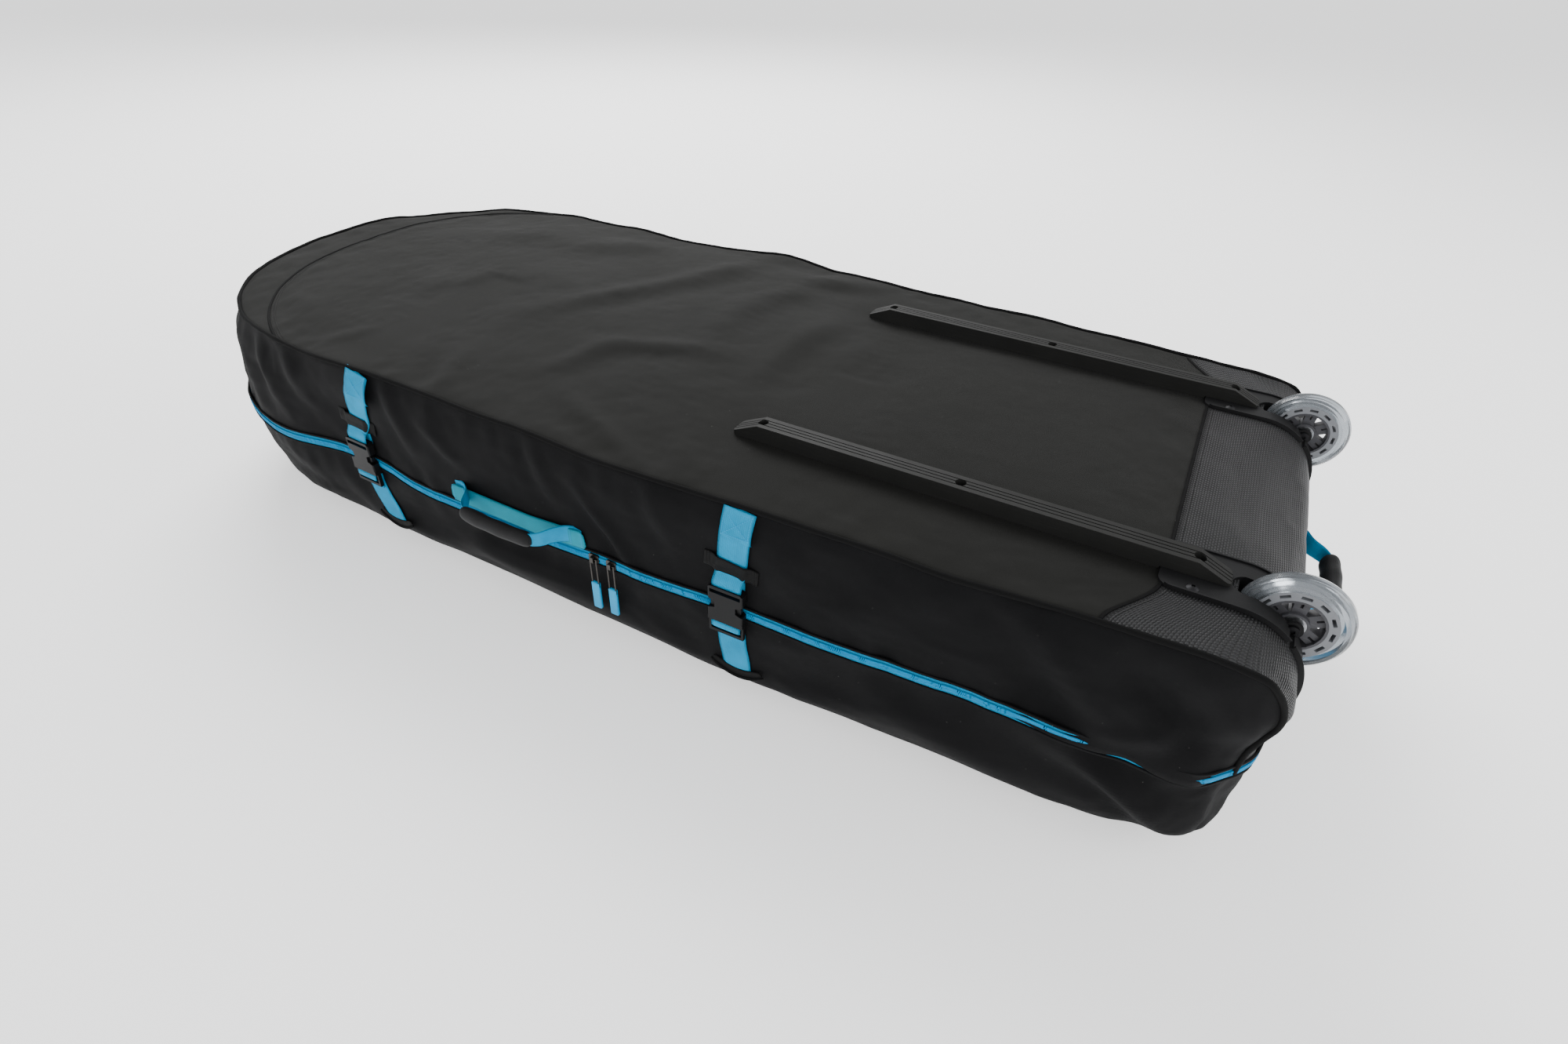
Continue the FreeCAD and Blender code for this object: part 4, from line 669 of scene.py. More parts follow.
class Paint:
    """A material's nodes, built with short calls."""

    def __init__(self, name, color, roughness=0.6, **sockets):
        self.material = bpy.data.materials.new(name)
        self.material.use_nodes = True
        self.tree = self.material.node_tree
        self.shader = self.tree.nodes["Principled BSDF"]
        self.shader.inputs["Base Color"].default_value = (*color, 1)
        self.shader.inputs["Roughness"].default_value = roughness
        for socket, value in sockets.items():
            self.shader.inputs[socket.replace("_", " ")].default_value = value

    def node(self, kind, inputs=None, **settings):
        made = self.tree.nodes.new("ShaderNode" + kind)
        for key, value in settings.items():
            setattr(made, key, value)
        for key, value in (inputs or {}).items():
            self.join(value, made.inputs[key])
        return made

    def join(self, value, socket):
        if isinstance(value, bpy.types.Node):
            value = value.outputs[0]
        if isinstance(value, bpy.types.NodeSocket):
            self.tree.links.new(value, socket)
        else:
            socket.default_value = value

    def math(self, operation, first, second=0.0, third=0.0):
        return self.node("Math", {0: first, 1: second, 2: third}, operation=operation)

    def mix(self, mask, first, second):
        mixed = self.node("Mix", {0: mask, 6: first, 7: second}, data_type="RGBA").outputs[2]
        self.join(mixed, self.shader.inputs["Base Color"])
        return mixed

    def places(self):
        """The object's own places."""
        return self.node("TexCoord").outputs["Object"]

    def weave(self):
        """The two directions of the weave map, in metres."""
        split = self.node("SeparateXYZ", {0: self.node("UVMap", uv_map="weave")})
        return split.outputs["X"], split.outputs["Y"]

    def wave(self, value, pitch):
        return self.math("SINE", self.math("MULTIPLY_ADD", value, 2 * math.pi / pitch, 0.0))

    def noise(self, scale, detail=2.0):
        return self.node("TexNoise", {"Vector": self.places(), "Scale": scale, "Detail": detail})

    def tint(self, mask, color, dark, light):
        """Base colour between a darker and a lighter tone."""
        return self.mix(mask, (*shade(color, dark), 1), (*shade(color, light), 1))

    def gloss(self, mask, low, high):
        self.join(self.node("MapRange", {0: mask, 3: low, 4: high}), self.shader.inputs["Roughness"])

    def bump(self, *heights):
        """One bump after another: (height, strength, distance); gives back the finished material."""
        last = None
        for height, strength, distance in heights:
            inputs = {"Height": height, "Strength": strength, "Distance": distance}
            if last is not None:
                inputs["Normal"] = last
            last = self.node("Bump", inputs)
        self.join(last, self.shader.inputs["Normal"])
        return self.material


def shade(color, factor):
    return tuple(min(channel * factor, 1.0) for channel in color)


def woven(name, color, pitch, sheen=0.03, glint=0.12, roughness=0.80, lint=True):
    """Polyester pack cloth: fine over-and-under weave, slight blotches, dust and lint."""
    paint = Paint(name, color, roughness, Sheen_Weight=sheen, Sheen_Roughness=0.45, Specular_IOR_Level=glint)
    u, v = paint.weave()
    cross = paint.math("MULTIPLY", paint.wave(u, pitch), paint.wave(v, pitch))
    threads = paint.math("ADD", cross, paint.wave(paint.math("ADD", u, v), pitch * 0.5).outputs[0])
    blotch = paint.noise(9.0, 4.0)
    mask = paint.math("MULTIPLY_ADD", cross, 0.16, paint.math("MULTIPLY", blotch, 0.9))
    colour = paint.tint(mask, color, 0.72, 1.35)
    if lint:
        specks = paint.node("TexVoronoi", {"Vector": paint.places(), "Scale": 70.0}, feature="F1")
        dot = paint.math("LESS_THAN", specks, 0.022)
        paint.mix(paint.math("MULTIPLY", dot, 0.5), colour, (0.35, 0.35, 0.33, 1))
    paint.gloss(blotch, roughness - 0.08, roughness + 0.08)
    return paint.bump((threads, 0.35, 0.0004), (paint.noise(900.0), 0.12, 0.0004))


def ribbed(name, color, pitch):
    """Ballistic nylon: thick twisted ribs across the patch, with painted shade in their grooves and painted highlight
    on their tops.
    """
    paint = Paint(name, color, 0.60, Sheen_Weight=0.02, Specular_IOR_Level=0.22)
    u, v = paint.weave()
    row = paint.math("FLOOR", paint.math("DIVIDE", u, pitch))
    odd = paint.math("MULTIPLY", paint.math("MODULO", row, 2.0), math.pi)
    rib = paint.math("ABSOLUTE", paint.wave(u, pitch * 2))
    twist = paint.math("SINE", paint.math("MULTIPLY_ADD", v, 2 * math.pi / (pitch * 1.7), odd))
    height = paint.math("MULTIPLY_ADD", twist, 0.35, rib)
    # the colour follows the ribs' height, plus some random tone: painted shade in the grooves and painted highlight on
    # the rib tops
    mask = paint.math("MULTIPLY_ADD", height, 0.62, paint.math("MULTIPLY", paint.noise(14.0, 3.0), 0.25))
    paint.tint(mask, color, 0.20, 1.7)
    paint.gloss(height, 0.70, 0.42)
    return paint.bump((height, 1.0, pitch * 0.45))


def webbing(name, color, pitch=0.0016):
    """Polyester webbing: a slanting twill with raised ribs along it and a denser edge."""
    paint = Paint(name, color, 0.60, Specular_IOR_Level=0.12)
    u, v = paint.weave()
    slant = paint.wave(paint.math("ADD", u, paint.math("ABSOLUTE", v)), pitch)
    threads = paint.math("MULTIPLY_ADD", paint.wave(v, pitch * 1.4), 0.5, slant)
    blotch = paint.noise(40.0, 3.0)
    mask = paint.math("MULTIPLY_ADD", threads, 0.16, paint.math("MULTIPLY", blotch, 0.9))
    paint.tint(mask, color, 0.62, 1.3)
    paint.gloss(blotch, 0.48, 0.66)
    return paint.bump((threads, 0.7, 0.0005), (paint.noise(600.0), 0.15, 0.0003))


def moulded(name, color, roughness=0.45, wear=0.35, glint=0.24):
    """Moulded plastic: fine grain, scuffs that catch the light and a paler rubbed tone."""
    paint = Paint(name, color, roughness, Specular_IOR_Level=glint)
    stretched = paint.node("Mapping", {"Vector": paint.places(), "Scale": (6.0, 160.0, 160.0)})
    scuff = paint.node("TexNoise", {"Vector": stretched, "Scale": 3.0, "Detail": 6.0, "Roughness": 0.7})
    rubbed = paint.node("ValToRGB", {0: scuff})
    rubbed.color_ramp.elements[0].position = 0.52
    rubbed.color_ramp.elements[1].position = 0.75
    mask = paint.math("MULTIPLY_ADD", rubbed, wear, paint.math("MULTIPLY", paint.noise(22.0, 5.0), 0.5))
    paint.tint(mask, color, 0.75, 1.9)
    paint.gloss(mask, roughness + 0.06, roughness - 0.10)
    return paint.bump((paint.noise(900.0), 0.18, 0.0003), (scuff, 0.06, 0.0004))


def metal(name, color, roughness=0.3):
    """Plated steel with light tarnish."""
    paint = Paint(name, color, roughness, Metallic=1.0)
    blotch = paint.noise(260.0, 4.0)
    paint.tint(blotch, color, 0.55, 1.35)
    paint.gloss(blotch, roughness - 0.08, roughness + 0.2)
    return paint.bump((paint.noise(1500.0), 0.1, 0.0002))


def urethane(name, color, roughness, transmission):
    """Cast polyurethane with a few faint streaks."""
    paint = Paint(name, color, roughness, Transmission_Weight=transmission, IOR=1.40, Specular_IOR_Level=0.25)
    blotch = paint.noise(60.0, 3.0)
    paint.tint(blotch, color, 0.88, 1.08)
    paint.gloss(blotch, roughness, roughness + 0.12)
    return paint.bump((paint.noise(90.0, 1.0), 0.04, 0.0001))


def spun(name, color, roughness=0.5, glint=0.2):
    """Stitching thread and the zip's coil: a tight twist."""
    paint = Paint(name, color, roughness, Specular_IOR_Level=glint)
    grain = paint.noise(1800.0)
    paint.tint(grain, color, 0.6, 1.35)
    return paint.bump((grain, 0.3, 0.0003))


def foam_cover(name, color):
    """The grips' stretch cover: a fine knit with a soft sheen."""
    paint = Paint(name, color, 0.65, Sheen_Weight=0.04, Sheen_Roughness=0.4, Specular_IOR_Level=0.2)
    u, v = paint.weave()
    knit = paint.math("MULTIPLY", paint.wave(u, 0.0012), paint.wave(v, 0.0009))
    blotch = paint.noise(60.0, 3.0)
    paint.tint(blotch, color, 0.7, 1.5)
    paint.gloss(blotch, 0.5, 0.7)
    return paint.bump((knit, 0.4, 0.0003))


CLOTH = woven("pack_cloth", (0.0086, 0.0086, 0.0076), 0.0011)
# the walls' cloth is the pack cloth painted about half as dark, with less sheen: painted shade on the walls, which
# face away from the window light
PAINTED_SHADE_WALL_CLOTH = woven("painted_shade_wall_cloth", (0.0038, 0.0038, 0.0043), 0.0010, sheen=0.01, glint=0.09, roughness=0.70)
LINING = woven("lining", (0.055, 0.057, 0.062), 0.0008, sheen=0.1, lint=False)
RIBBED = ribbed("ballistic_patch", (0.0145, 0.0145, 0.0156), 0.0026)
PIPING = woven("piping", (0.0055, 0.0055, 0.0056), 0.0014, sheen=0.0, glint=0.08, lint=False)
WEB_BLUE = webbing("blue_webbing", (0.0005, 0.370, 0.680))
WEB_TEAL = webbing("teal_webbing", (0.004, 0.330, 0.450))
WEB_BLACK = webbing("black_webbing", (0.008, 0.008, 0.008))
TAPE_BLUE = webbing("zip_tape", (0.0005, 0.300, 0.560), 0.0011)
COIL_BLUE = spun("zip_coil", (0.0005, 0.230, 0.470), 0.60, glint=0.06)
THREAD_BLUE = spun("blue_thread", (0.02, 0.40, 0.72))
THREAD_BLACK = spun("black_thread", (0.010, 0.010, 0.010))
GRIP = foam_cover("grip_cover", (0.0055, 0.0055, 0.0060))
RAIL = moulded("rail_plastic", (0.0145, 0.0145, 0.0136), 0.58, glint=0.16)
HOUSING = moulded("housing_plastic", (0.010, 0.010, 0.0105), 0.55, wear=0.2, glint=0.16)
BUCKLE = moulded("buckle_plastic", (0.0045, 0.0045, 0.0048), 0.40, wear=0.2, glint=0.16)
BOARD = moulded("board_plastic", (0.06, 0.06, 0.06), 0.6)
STEEL = metal("plated_steel", (0.42, 0.43, 0.45), 0.28)
BLACK_STEEL = metal("black_screws", (0.035, 0.035, 0.037), 0.45)
NICKEL = metal("dark_nickel", (0.080, 0.074, 0.068), 0.28)
TYRE = urethane("clear_tyre", (0.36, 0.39, 0.42), 0.10, 0.85)
CORE = urethane("milky_core", (0.27, 0.28, 0.30), 0.35, 0.15)
HUB = moulded("hub_plastic", (0.058, 0.058, 0.064), 0.42, wear=0.5)
TAB_BLUE = moulded("tab_rubber", (0.001, 0.30, 0.62), 0.42, wear=0.3)

# the CAD nodes that stay: their name and ends, their finish, and the bevel where moulded edges catch the light
WHEEL_ENDS = ("_near", "_far")
STRAP_ENDS = ("_front", "_rear")
NODE_FINISHES = [
    ("rail", WHEEL_ENDS, RAIL, 0.0012), ("rail_screws", ("",), BLACK_STEEL, 0), ("rail_nuts", ("",), STEEL, 0),
    ("wheel_housing", WHEEL_ENDS, HOUSING, 0.0007), ("housing_screws", ("",), BLACK_STEEL, 0),
    ("axle", WHEEL_ENDS, BLACK_STEEL, 0.0004), ("stiffener_board", ("",), BOARD, 0.0005),
    ("wheel_tyre", WHEEL_ENDS, TYRE, 0.0015), ("wheel_core", WHEEL_ENDS, CORE, 0.0005),
    ("wheel_hub", WHEEL_ENDS, HUB, 0.0006), ("wheel_bearings", WHEEL_ENDS, STEEL, 0),
    ("buckle_socket", STRAP_ENDS, BUCKLE, 0.0009), ("buckle_tongue", STRAP_ENDS, BUCKLE, 0.0006),
    ("zip_slider", STRAP_ENDS, NICKEL, 0.0006), ("pull_wire", STRAP_ENDS, NICKEL, 0),
    ("pull_tab", STRAP_ENDS, TAB_BLUE, 0.0004),
]


def paint_nodes():
    """Finishes and bevels for the CAD nodes that stay."""
    for name, ends, material, width in NODE_FINISHES:
        for end in ends:
            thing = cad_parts[name + end]
            if thing.material_slots:
                for holder in thing.material_slots:
                    holder.material = material
            else:
                thing.data.materials.append(material)
            if width:
                bevel = thing.modifiers.new("edge", "BEVEL")
                bevel.width = width
                bevel.segments = 2
                bevel.limit_method = "ANGLE"
                bevel.angle_limit = math.radians(35)
                bevel.harden_normals = False


# ---------------------------------------------------------------- panels and seams

def finish_piece(thing, body, slot, *nodes):
    """Makes a piece ride on its body and stands it in for its CAD nodes; slot, the name of its finish, is not used."""
    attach(thing, body)
    if nodes:
        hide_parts(*nodes)
    return thing


def make_piece(name, body, slot, nodes, *swept):
    """A swept piece that rides on its body."""
    return finish_piece(sweep(name, *swept), body, slot, *nodes)


PANEL_NAMES = ["panel", "patch", "tail", "wall", "floor"]


def shell_object(name, points, faces, panels, flat_map, round_map):
    """The whole shell as one object: its faces carry their panel's number, its vertices two weave maps."""
    shell = add_mesh(name, points, faces)
    for _ in PANEL_NAMES:
        shell.data.materials.append(CLOTH)
    shell.data.polygons.foreach_set("material_index", [PANEL_NAMES.index(panel) for panel in panels])
    for map_name, values in (("flat", flat_map), ("round", round_map)):
        layer = shell.data.attributes.new(map_name, "FLOAT_VECTOR", "POINT")
        layer.data.foreach_set("vector", np.column_stack([values, np.zeros(len(values))]).ravel())
    return shell


CLOTH_THICK = 0.003


def cut_panel(shell, panel, name, map_name, material):
    """One panel of a shell as a closed sheet of cloth, mapped with one of the stored maps."""
    mesh = shell.data
    slots = read(mesh.polygons, "material_index", kind=int)
    quads = read(mesh.loops, "vertex_index", kind=int).reshape(-1, 4)[slots == PANEL_NAMES.index(panel)]
    used, renumbered = np.unique(quads, return_inverse=True)
    renumbered = renumbered.reshape(-1, 4)
    corner_uv = read(mesh.attributes[map_name].data, "vector", 3)[used][:, :2][renumbered]
    piece = add_mesh(name, corners_of(shell)[used], renumbered, material)
    span = corner_uv[:, :, 0].max(axis=1, keepdims=True) - corner_uv[:, :, 0]
    corner_uv[:, :, 0] += np.where(span > 1.0, RING_LENGTH, 0)
    layer = piece.data.uv_layers.new(name="weave")
    layer.data.foreach_set("uv", corner_uv.reshape(-1, 2).ravel())
    piece.data.materials.append(LINING)
    solid = piece.modifiers.new("cloth", "SOLIDIFY")
    solid.thickness = CLOTH_THICK
    solid.offset = -1
    solid.material_offset = 1
    solid.use_rim = True
    return settle_modifiers(piece)


RING_LENGTH = float(STATION_S[-1] + 2 * half_width(TAIL))


def base_maps(count):
    """The two weave maps of the base shell: flat panels by place, walls by the way round."""
    width = COLUMNS + 1
    bend = TAIL - TAIL_ROUND
    turn = np.arccos(np.clip((GRID_Z - (TOP - TAIL_ROUND)) / TAIL_ROUND, -1, 1))
    flat_u = np.where(GRID_Z > TOP - 1e-6, GRID_X, bend + TAIL_ROUND * turn)
    tail_z = np.linspace(GRID_Z[-1, 0], PARTING, WALL_ROWS + 1)[1:]
    flat = np.column_stack([flat_u.ravel(), (ACROSS * half_width(GRID_X[:, :1])).ravel()])
    quarter = bend + TAIL_ROUND * math.pi / 2
    tail = [np.column_stack([np.full(width, quarter + GRID_Z[-1, 0] - z), ACROSS * half_width(TAIL)]) for z in tail_z]
    last = len(STATIONS) - 1
    flat_map = np.vstack([flat] + tail + [np.zeros((WALL_ROWS * (last - 1), 2))])
    round_map = np.zeros((count, 2))
    for index, place in enumerate(STATIONS):
        round_map[place[0] * width + place[1]] = (STATION_S[index], STATION_Z[index])
    for step, z in enumerate(tail_z, start=1):
        round_map[(GRID_ROWS - 1 + step) * width] = (STATION_S[0], z)
        round_map[(GRID_ROWS - 1 + step) * width + COLUMNS] = (STATION_S[-1], z)
    wall_start = (GRID_ROWS + WALL_ROWS) * width
    parts = np.linspace(0, 1, WALL_ROWS + 1)[1:, None]
    round_map[wall_start:, 0] = np.tile(STATION_S[1:last], WALL_ROWS)
    round_map[wall_start:, 1] = (STATION_Z[1:last] + (PARTING - STATION_Z[1:last]) * parts).ravel()
    return flat_map, round_map


WELL_HALF = 0.024
WELL_LONG = 0.075


def without_wells(points, faces, panels):
    """Leaves out the faces where the wheels stand; the housings' plates cover the cut."""
    x, y, z = np.array([points[list(face)].mean(axis=0) for face in faces]).T
    gap = ((np.abs(np.abs(y) - RAIL_Y - 0.001) < WELL_HALF) & (z > HOUSING_LOW + 0.008)
           & (x > box_high("wheel_housing_far", "x") - WELL_LONG))
    return [face for face, cut in zip(faces, gap) if not cut], [panel for panel, cut in zip(panels, gap) if not cut]


def overhang(points):
    """The base's cloth hangs over the zip towards the tail."""
    x, y, z = points.T
    reach = smooth(x, 0.50, 0.60) * np.where(y < 0, 1.0, 0.0)
    low = 1 - smooth(z, PARTING, PARTING + 0.045)
    gape = 1 - 0.80 * bell(x, 0.676, 0.020) - 0.8 * smooth(x, 0.745, 0.765)
    moved = points.copy()
    moved[:, 1] -= reach * low * 0.010 * (1 - smooth(x, 0.735, 0.770))
    moved[:, 2] -= reach * low ** 2 * 0.013 * gape
    return moved


def tuck_tail(points):
    """The tail's upright corners are tight at the top seam and grow rounder and slacker below it."""
    x, y, z = points.T
    moved = points.copy()
    radius = TAIL_CORNER + (SLACK_CORNER - TAIL_CORNER) * smooth(TOP - z, 0.035, 0.130)
    half = half_width(np.minimum(x, TAIL))
    in_x = x - (TAIL - radius)
    in_y = np.abs(y) - (half - radius)
    reach = np.hypot(np.maximum(in_x, 0), np.maximum(in_y, 0))
    over = (in_x > 0) & (in_y > 0) & (reach > radius)
    back = np.where(over, radius / np.maximum(reach, 1e-6), 1)
    moved[:, 0] = np.where(over, TAIL - radius + in_x * back, x)
    moved[:, 1] = np.where(over, np.sign(y) * (half - radius + in_y * back), y)
    bulge = smooth(x, TAIL - 0.09, TAIL) * bell(y, 0, 0.16) * bell(z, 0.215, 0.07)
    moved[:, 0] += TAIL_BULGE * bulge
    return moved


def build_base():
    """The base's cloth, its panels and its seam piping."""
    points, faces, panels, lines = base_shell()
    flat_map, round_map = base_maps(len(points))
    faces, panels = without_wells(points, faces, panels)
    faces = face_outward(points, faces, np.array([0.1, 0, 0.2]))
    plain = points.copy()
    points = overhang(tuck_tail(settle(points)))
    shell = shell_object("base_cloth", points, faces, panels, flat_map, round_map)
    distances = shell_distances(plain)
    cap = curve_of_cap(0.010)
    seams = [points[lines["seam"]], points[lines["zip"]], points[lines["patch"]][::2], settle(cap)]
    held = np.clip(1 - distances / HELD_REACH, 0, 1)
    held[lines["seam"]] = 1
    held[lines["zip"]] = 1
    held[lines["patch"]] = np.maximum(held[lines["patch"]], 0.5)
    wall = (plain[:, 2] < TOP - 0.002) & (plain[:, 0] < TAIL - 0.005)
    slack = np.where(wall, 1.0, 0.10)
    inflate(shell, held, slack, np.where(wall, WALL_GIVE, 0.0035) * smooth(distances, 0, 0.05) + LEAST_GIVE)
    place_corners(shell, wrinkle(corners_of(shell), normals_of(shell), distances, seams))
    soften(shell)
    final = corners_of(shell)
    paths = {name: final[line] for name, line in lines.items()}
    for panel, name, map_name, material, slot, nodes in (
            ("panel", "base_panel_cloth", "flat", CLOTH, "base_fabric", ["base_panel", "nose_cap"]),
            ("patch", "tail_patch_cloth", "flat", RIBBED, "ribbed_fabric", ["tail_patch"]),
            ("tail", "tail_wall_cloth", "flat", RIBBED, "ribbed_fabric", ["tail_wall"]),
            ("wall", "base_wall_cloth", "round", PAINTED_SHADE_WALL_CLOTH, "base_fabric",
             ["base_gusset_nose", "base_gusset_near", "base_gusset_far"])):
        finish_piece(cut_panel(shell, panel, name, map_name, material), "base", slot, *nodes)
    paths["cap"] = drop_on(shell, settle(curve_of_cap(0.006)))
    return shell, paths


CORNER_LIFT = 0.018


def build_lid():
    """The lid's cloth and its panels."""
    points, faces, panels, lines = lid_shell()
    faces = face_outward(points, faces, np.array([0.1, 0, 0.07]))
    plain = points.copy()
    count = len(lines["zip"])
    ring_s = np.concatenate([STATION_S, STATION_S[-1] + np.arange(1, COLUMNS) * 2 * half_width(TAIL) / COLUMNS])
    round_map = np.column_stack([points[:, 0], points[:, 2]])
    for row in range(lines["low"][0] // count + 1):
        round_map[row * count:(row + 1) * count] = np.column_stack([ring_s, np.full(count, -row * 0.012)])
    points = tuck_tail(settle(points))
    # the slack near corner at the tail does not reach the floor
    x, y, z = points.T
    points[:, 2] += CORNER_LIFT * smooth(x, 0.66, 0.77) * smooth(-y, 0.16, 0.27) * (1 - smooth(z, 0.0, 0.12))
    points[:, 2] = np.maximum(points[:, 2], 0)
    shell = shell_object("lid_cloth", points, faces, panels, plain[:, :2], round_map)
    distances = shell_distances(plain)
    free = smooth(plain[:, 2], 0.0, 0.03)
    held = np.clip(1 - distances / HELD_REACH, 0, 1)
    held[lines["zip"]] = 1
    floor = plain[:, 2] < 0.002
    held[floor] = 1
    slack = np.where(floor, 0.0, 1.0)
    inflate(shell, held, slack, WALL_GIVE * smooth(distances, 0, 0.05) * free + LEAST_GIVE)
    moved = wrinkle(corners_of(shell), normals_of(shell), distances, [points[lines["zip"]]])
    moved = corners_of(shell) * (1 - free[:, None]) + moved * free[:, None]
    moved[:, 2] = np.maximum(moved[:, 2], 0)
    place_corners(shell, moved)
    soften(shell)
    final = corners_of(shell)
    final[:, 2] = np.maximum(final[:, 2], 0)
    place_corners(shell, final)
    finish_piece(cut_panel(shell, "wall", "lid_wall_cloth", "round", PAINTED_SHADE_WALL_CLOTH), "lid", "lid_fabric",
                 "lid_gusset_nose", "lid_gusset_near", "lid_gusset_far", "lid_gusset_tail")
    finish_piece(cut_panel(shell, "floor", "lid_floor_cloth", "flat", CLOTH), "lid", "lid_fabric", "lid_panel")
    return shell, {name: final[line] for name, line in lines.items()}


CAP_PULL = 0.028


def curve_of_cap(step):
    """The nose cap's seam on the plain top panel."""
    apart = CAP_X - NOSE_X
    widest = math.acos((apart ** 2 + CAP_RADIUS ** 2 - NOSE_RADIUS ** 2) / (2 * apart * CAP_RADIUS)) - 0.012
    angles = np.linspace(math.pi - widest, math.pi + widest, int(2 * widest * CAP_RADIUS / step))
    x, y = CAP_X + CAP_RADIUS * np.cos(angles), CAP_RADIUS * np.sin(angles)
    x -= CAP_PULL * smooth(y, 0.0, 0.22)
    kept = (np.hypot(x - NOSE_X, y) < NOSE_RADIUS - 0.003) | (y < 0)
    return np.column_stack([x, y, np.full(len(x), TOP)])[kept]


def drop_on(shell, path, lift=0.0):
    """A path laid down on a shell from above."""
    tree = BVHTree.FromObject(shell, bpy.context.evaluated_depsgraph_get())
    laid = []
    for x, y, z in path:
        hit = tree.ray_cast(Vector((x, y, z + 0.1)), Vector((0, 0, -1)))[0]
        laid.append((x, y, (hit.z if hit else z) + lift))
    return np.array(laid)


def ring_normals(path):
    """Outward level directions along a ring that runs near side, nose, far side, tail."""
    ahead = directions(path)
    return unit(np.column_stack([-ahead[:, 1], ahead[:, 0], np.zeros(len(path))]))


def beads(name, centres, axis, across, up, rings, material, inward=False):
    """Small closed bodies, one at each centre: rings of six points set along its axis, each (place, size)."""
    angles = np.linspace(0, 2 * np.pi, 6, endpoint=False)
    count = len(rings) * len(angles)
    template = capped_tube(len(rings), len(angles), inward)
    vertices, faces = [], []
    for index, centre in enumerate(centres):
        spread = across[index] * np.cos(angles)[:, None] + up[index] * np.sin(angles)[:, None]
        vertices += [centre + axis[index] * along + spread * size for along, size in rings]
        faces += [tuple(i + index * count for i in face) for face in template]
    return add_mesh(name, np.vstack(vertices), faces, material, np.zeros((len(centres) * count, 2)))


SMALL_STITCH = (0.0030, 0.0022, 0.0004)


def stitches(name, path, outward, material, pitch=0.0042, length=0.0030, radius=0.00045):
    """A row of thread stitches along a path."""
    both = resample(np.hstack([path, np.broadcast_to(outward, np.shape(path))]), pitch)
    centres = both[:, :3]
    ahead, side, out = frame_along(centres, unit(both[:, 3:]))
    rings = [(-0.5 * length, 0.35), (-0.32 * length, 1.0), (0.32 * length, 1.0), (0.5 * length, 0.35)]
    return beads(name, centres, ahead, side * radius, out * radius * 0.8, rings, material)


def sew(name, body, slot, rows, outward, thread, *sizes):
    """Rows of stitches as one piece."""
    made = [stitches("row", row, outward, thread, *sizes) for row in rows]
    finish_piece(merge(name, made), body, slot)


def make_piping(shell, paths):
    """Piping along the base's seams, and the stitch rows beside them."""
    seam = resample(curve_through(paths["seam"][::2], 4), PATH_STEP)
    outward = unit((seam - np.array([0.1, 0.0, 0.15])) * np.array([0.15, 1.0, 1.2]))
    pull = 1 + 0.14 * waviness(seam, 0.05, 3, 2)
    make_piece("top_seam_piping", "base", "base_fabric", (), seam + outward * 0.0016, outward,
               round_section(PIPING_RADIUS, 12), PIPING, pull)
    patch = resample(paths["patch"], PATH_STEP) + np.array([0, 0, 0.0004])
    make_piece("patch_seam_welt", "base", "base_fabric", (), patch, (0, 0, 1), band_section(0.0036, 0.0016, 6), PIPING)
    cap = resample(paths["cap"], 0.005) + np.array([0, 0, 0.0002])
    make_piece("nose_cap_seam", "base", "base_fabric", (), cap, (0, 0, 1), band_section(0.0038, 0.0018, 6), PIPING)
    rows = [patch + np.array([shift, 0, 0.0002]) for shift in (0.004, 0.008)]
    rows += [cap + ring_normals(cap) * shift for shift in (0.0045, 0.0080)]
    rows = [drop_on(shell, row, 0.0003) for row in rows]
    sew("seam_stitching", "base", "base_fabric", rows, (0, 0, 1), THREAD_BLACK)


# ---------------------------------------------------------------- zip

ZIP_FAR_FRONT, ZIP_FAR_REAR = -0.400, 0.700
COIL_PITCH = 0.0026
COIL_OUT = 0.0021
COIL_HALF_WIDE, COIL_HALF_HIGH = 0.00088, 0.00095
TAPE_WIDE, TAPE_MIDDLE = 0.0075, 0.00405
EDGE_AWAY = 0.0090
HINGE_WIDE = 0.040
PIPING_RADIUS = 0.0030


def open_ring(ring):
    """The zip's path: from the far side's tail end round the tail, near side and nose to the far side's front end."""
    on_far = (ring[:, 1] > 0.2) & (ring[:, 0] > ZIP_FAR_FRONT) & (ring[:, 0] < ZIP_FAR_REAR)
    start = int(np.flatnonzero(on_far)[-1]) + 1
    turned = np.roll(ring, -start, axis=0)
    return turned[:len(ring) - int(on_far.sum())]


def far_ring(ring):
    """The part of the far side that the fabric hinge covers."""
    on_far = (ring[:, 1] > 0.2) & (ring[:, 0] > ZIP_FAR_FRONT - 0.01) & (ring[:, 0] < ZIP_FAR_REAR + 0.01)
    return ring[on_far]


def make_teeth(name, path, outward, shift, sign):
    """One half of the coil: a row of rounded turns that mesh with the other half's."""
    both = resample(np.hstack([path, outward]), COIL_PITCH)
    out = unit(both[:, 3:])
    ahead = directions(both[:, :3])
    centres = both[:, :3] + ahead * shift * COIL_PITCH + out * COIL_OUT
    rings = [(-0.0004, 0.5), (0.0003, 1.0), (0.0027, 1.0), (0.0034, 0.45)]
    return beads(name, centres, unit(np.cross(out, ahead)) * sign, ahead * COIL_HALF_WIDE, out * COIL_HALF_HIGH,
                 rings, COIL_BLUE, inward=sign > 0)


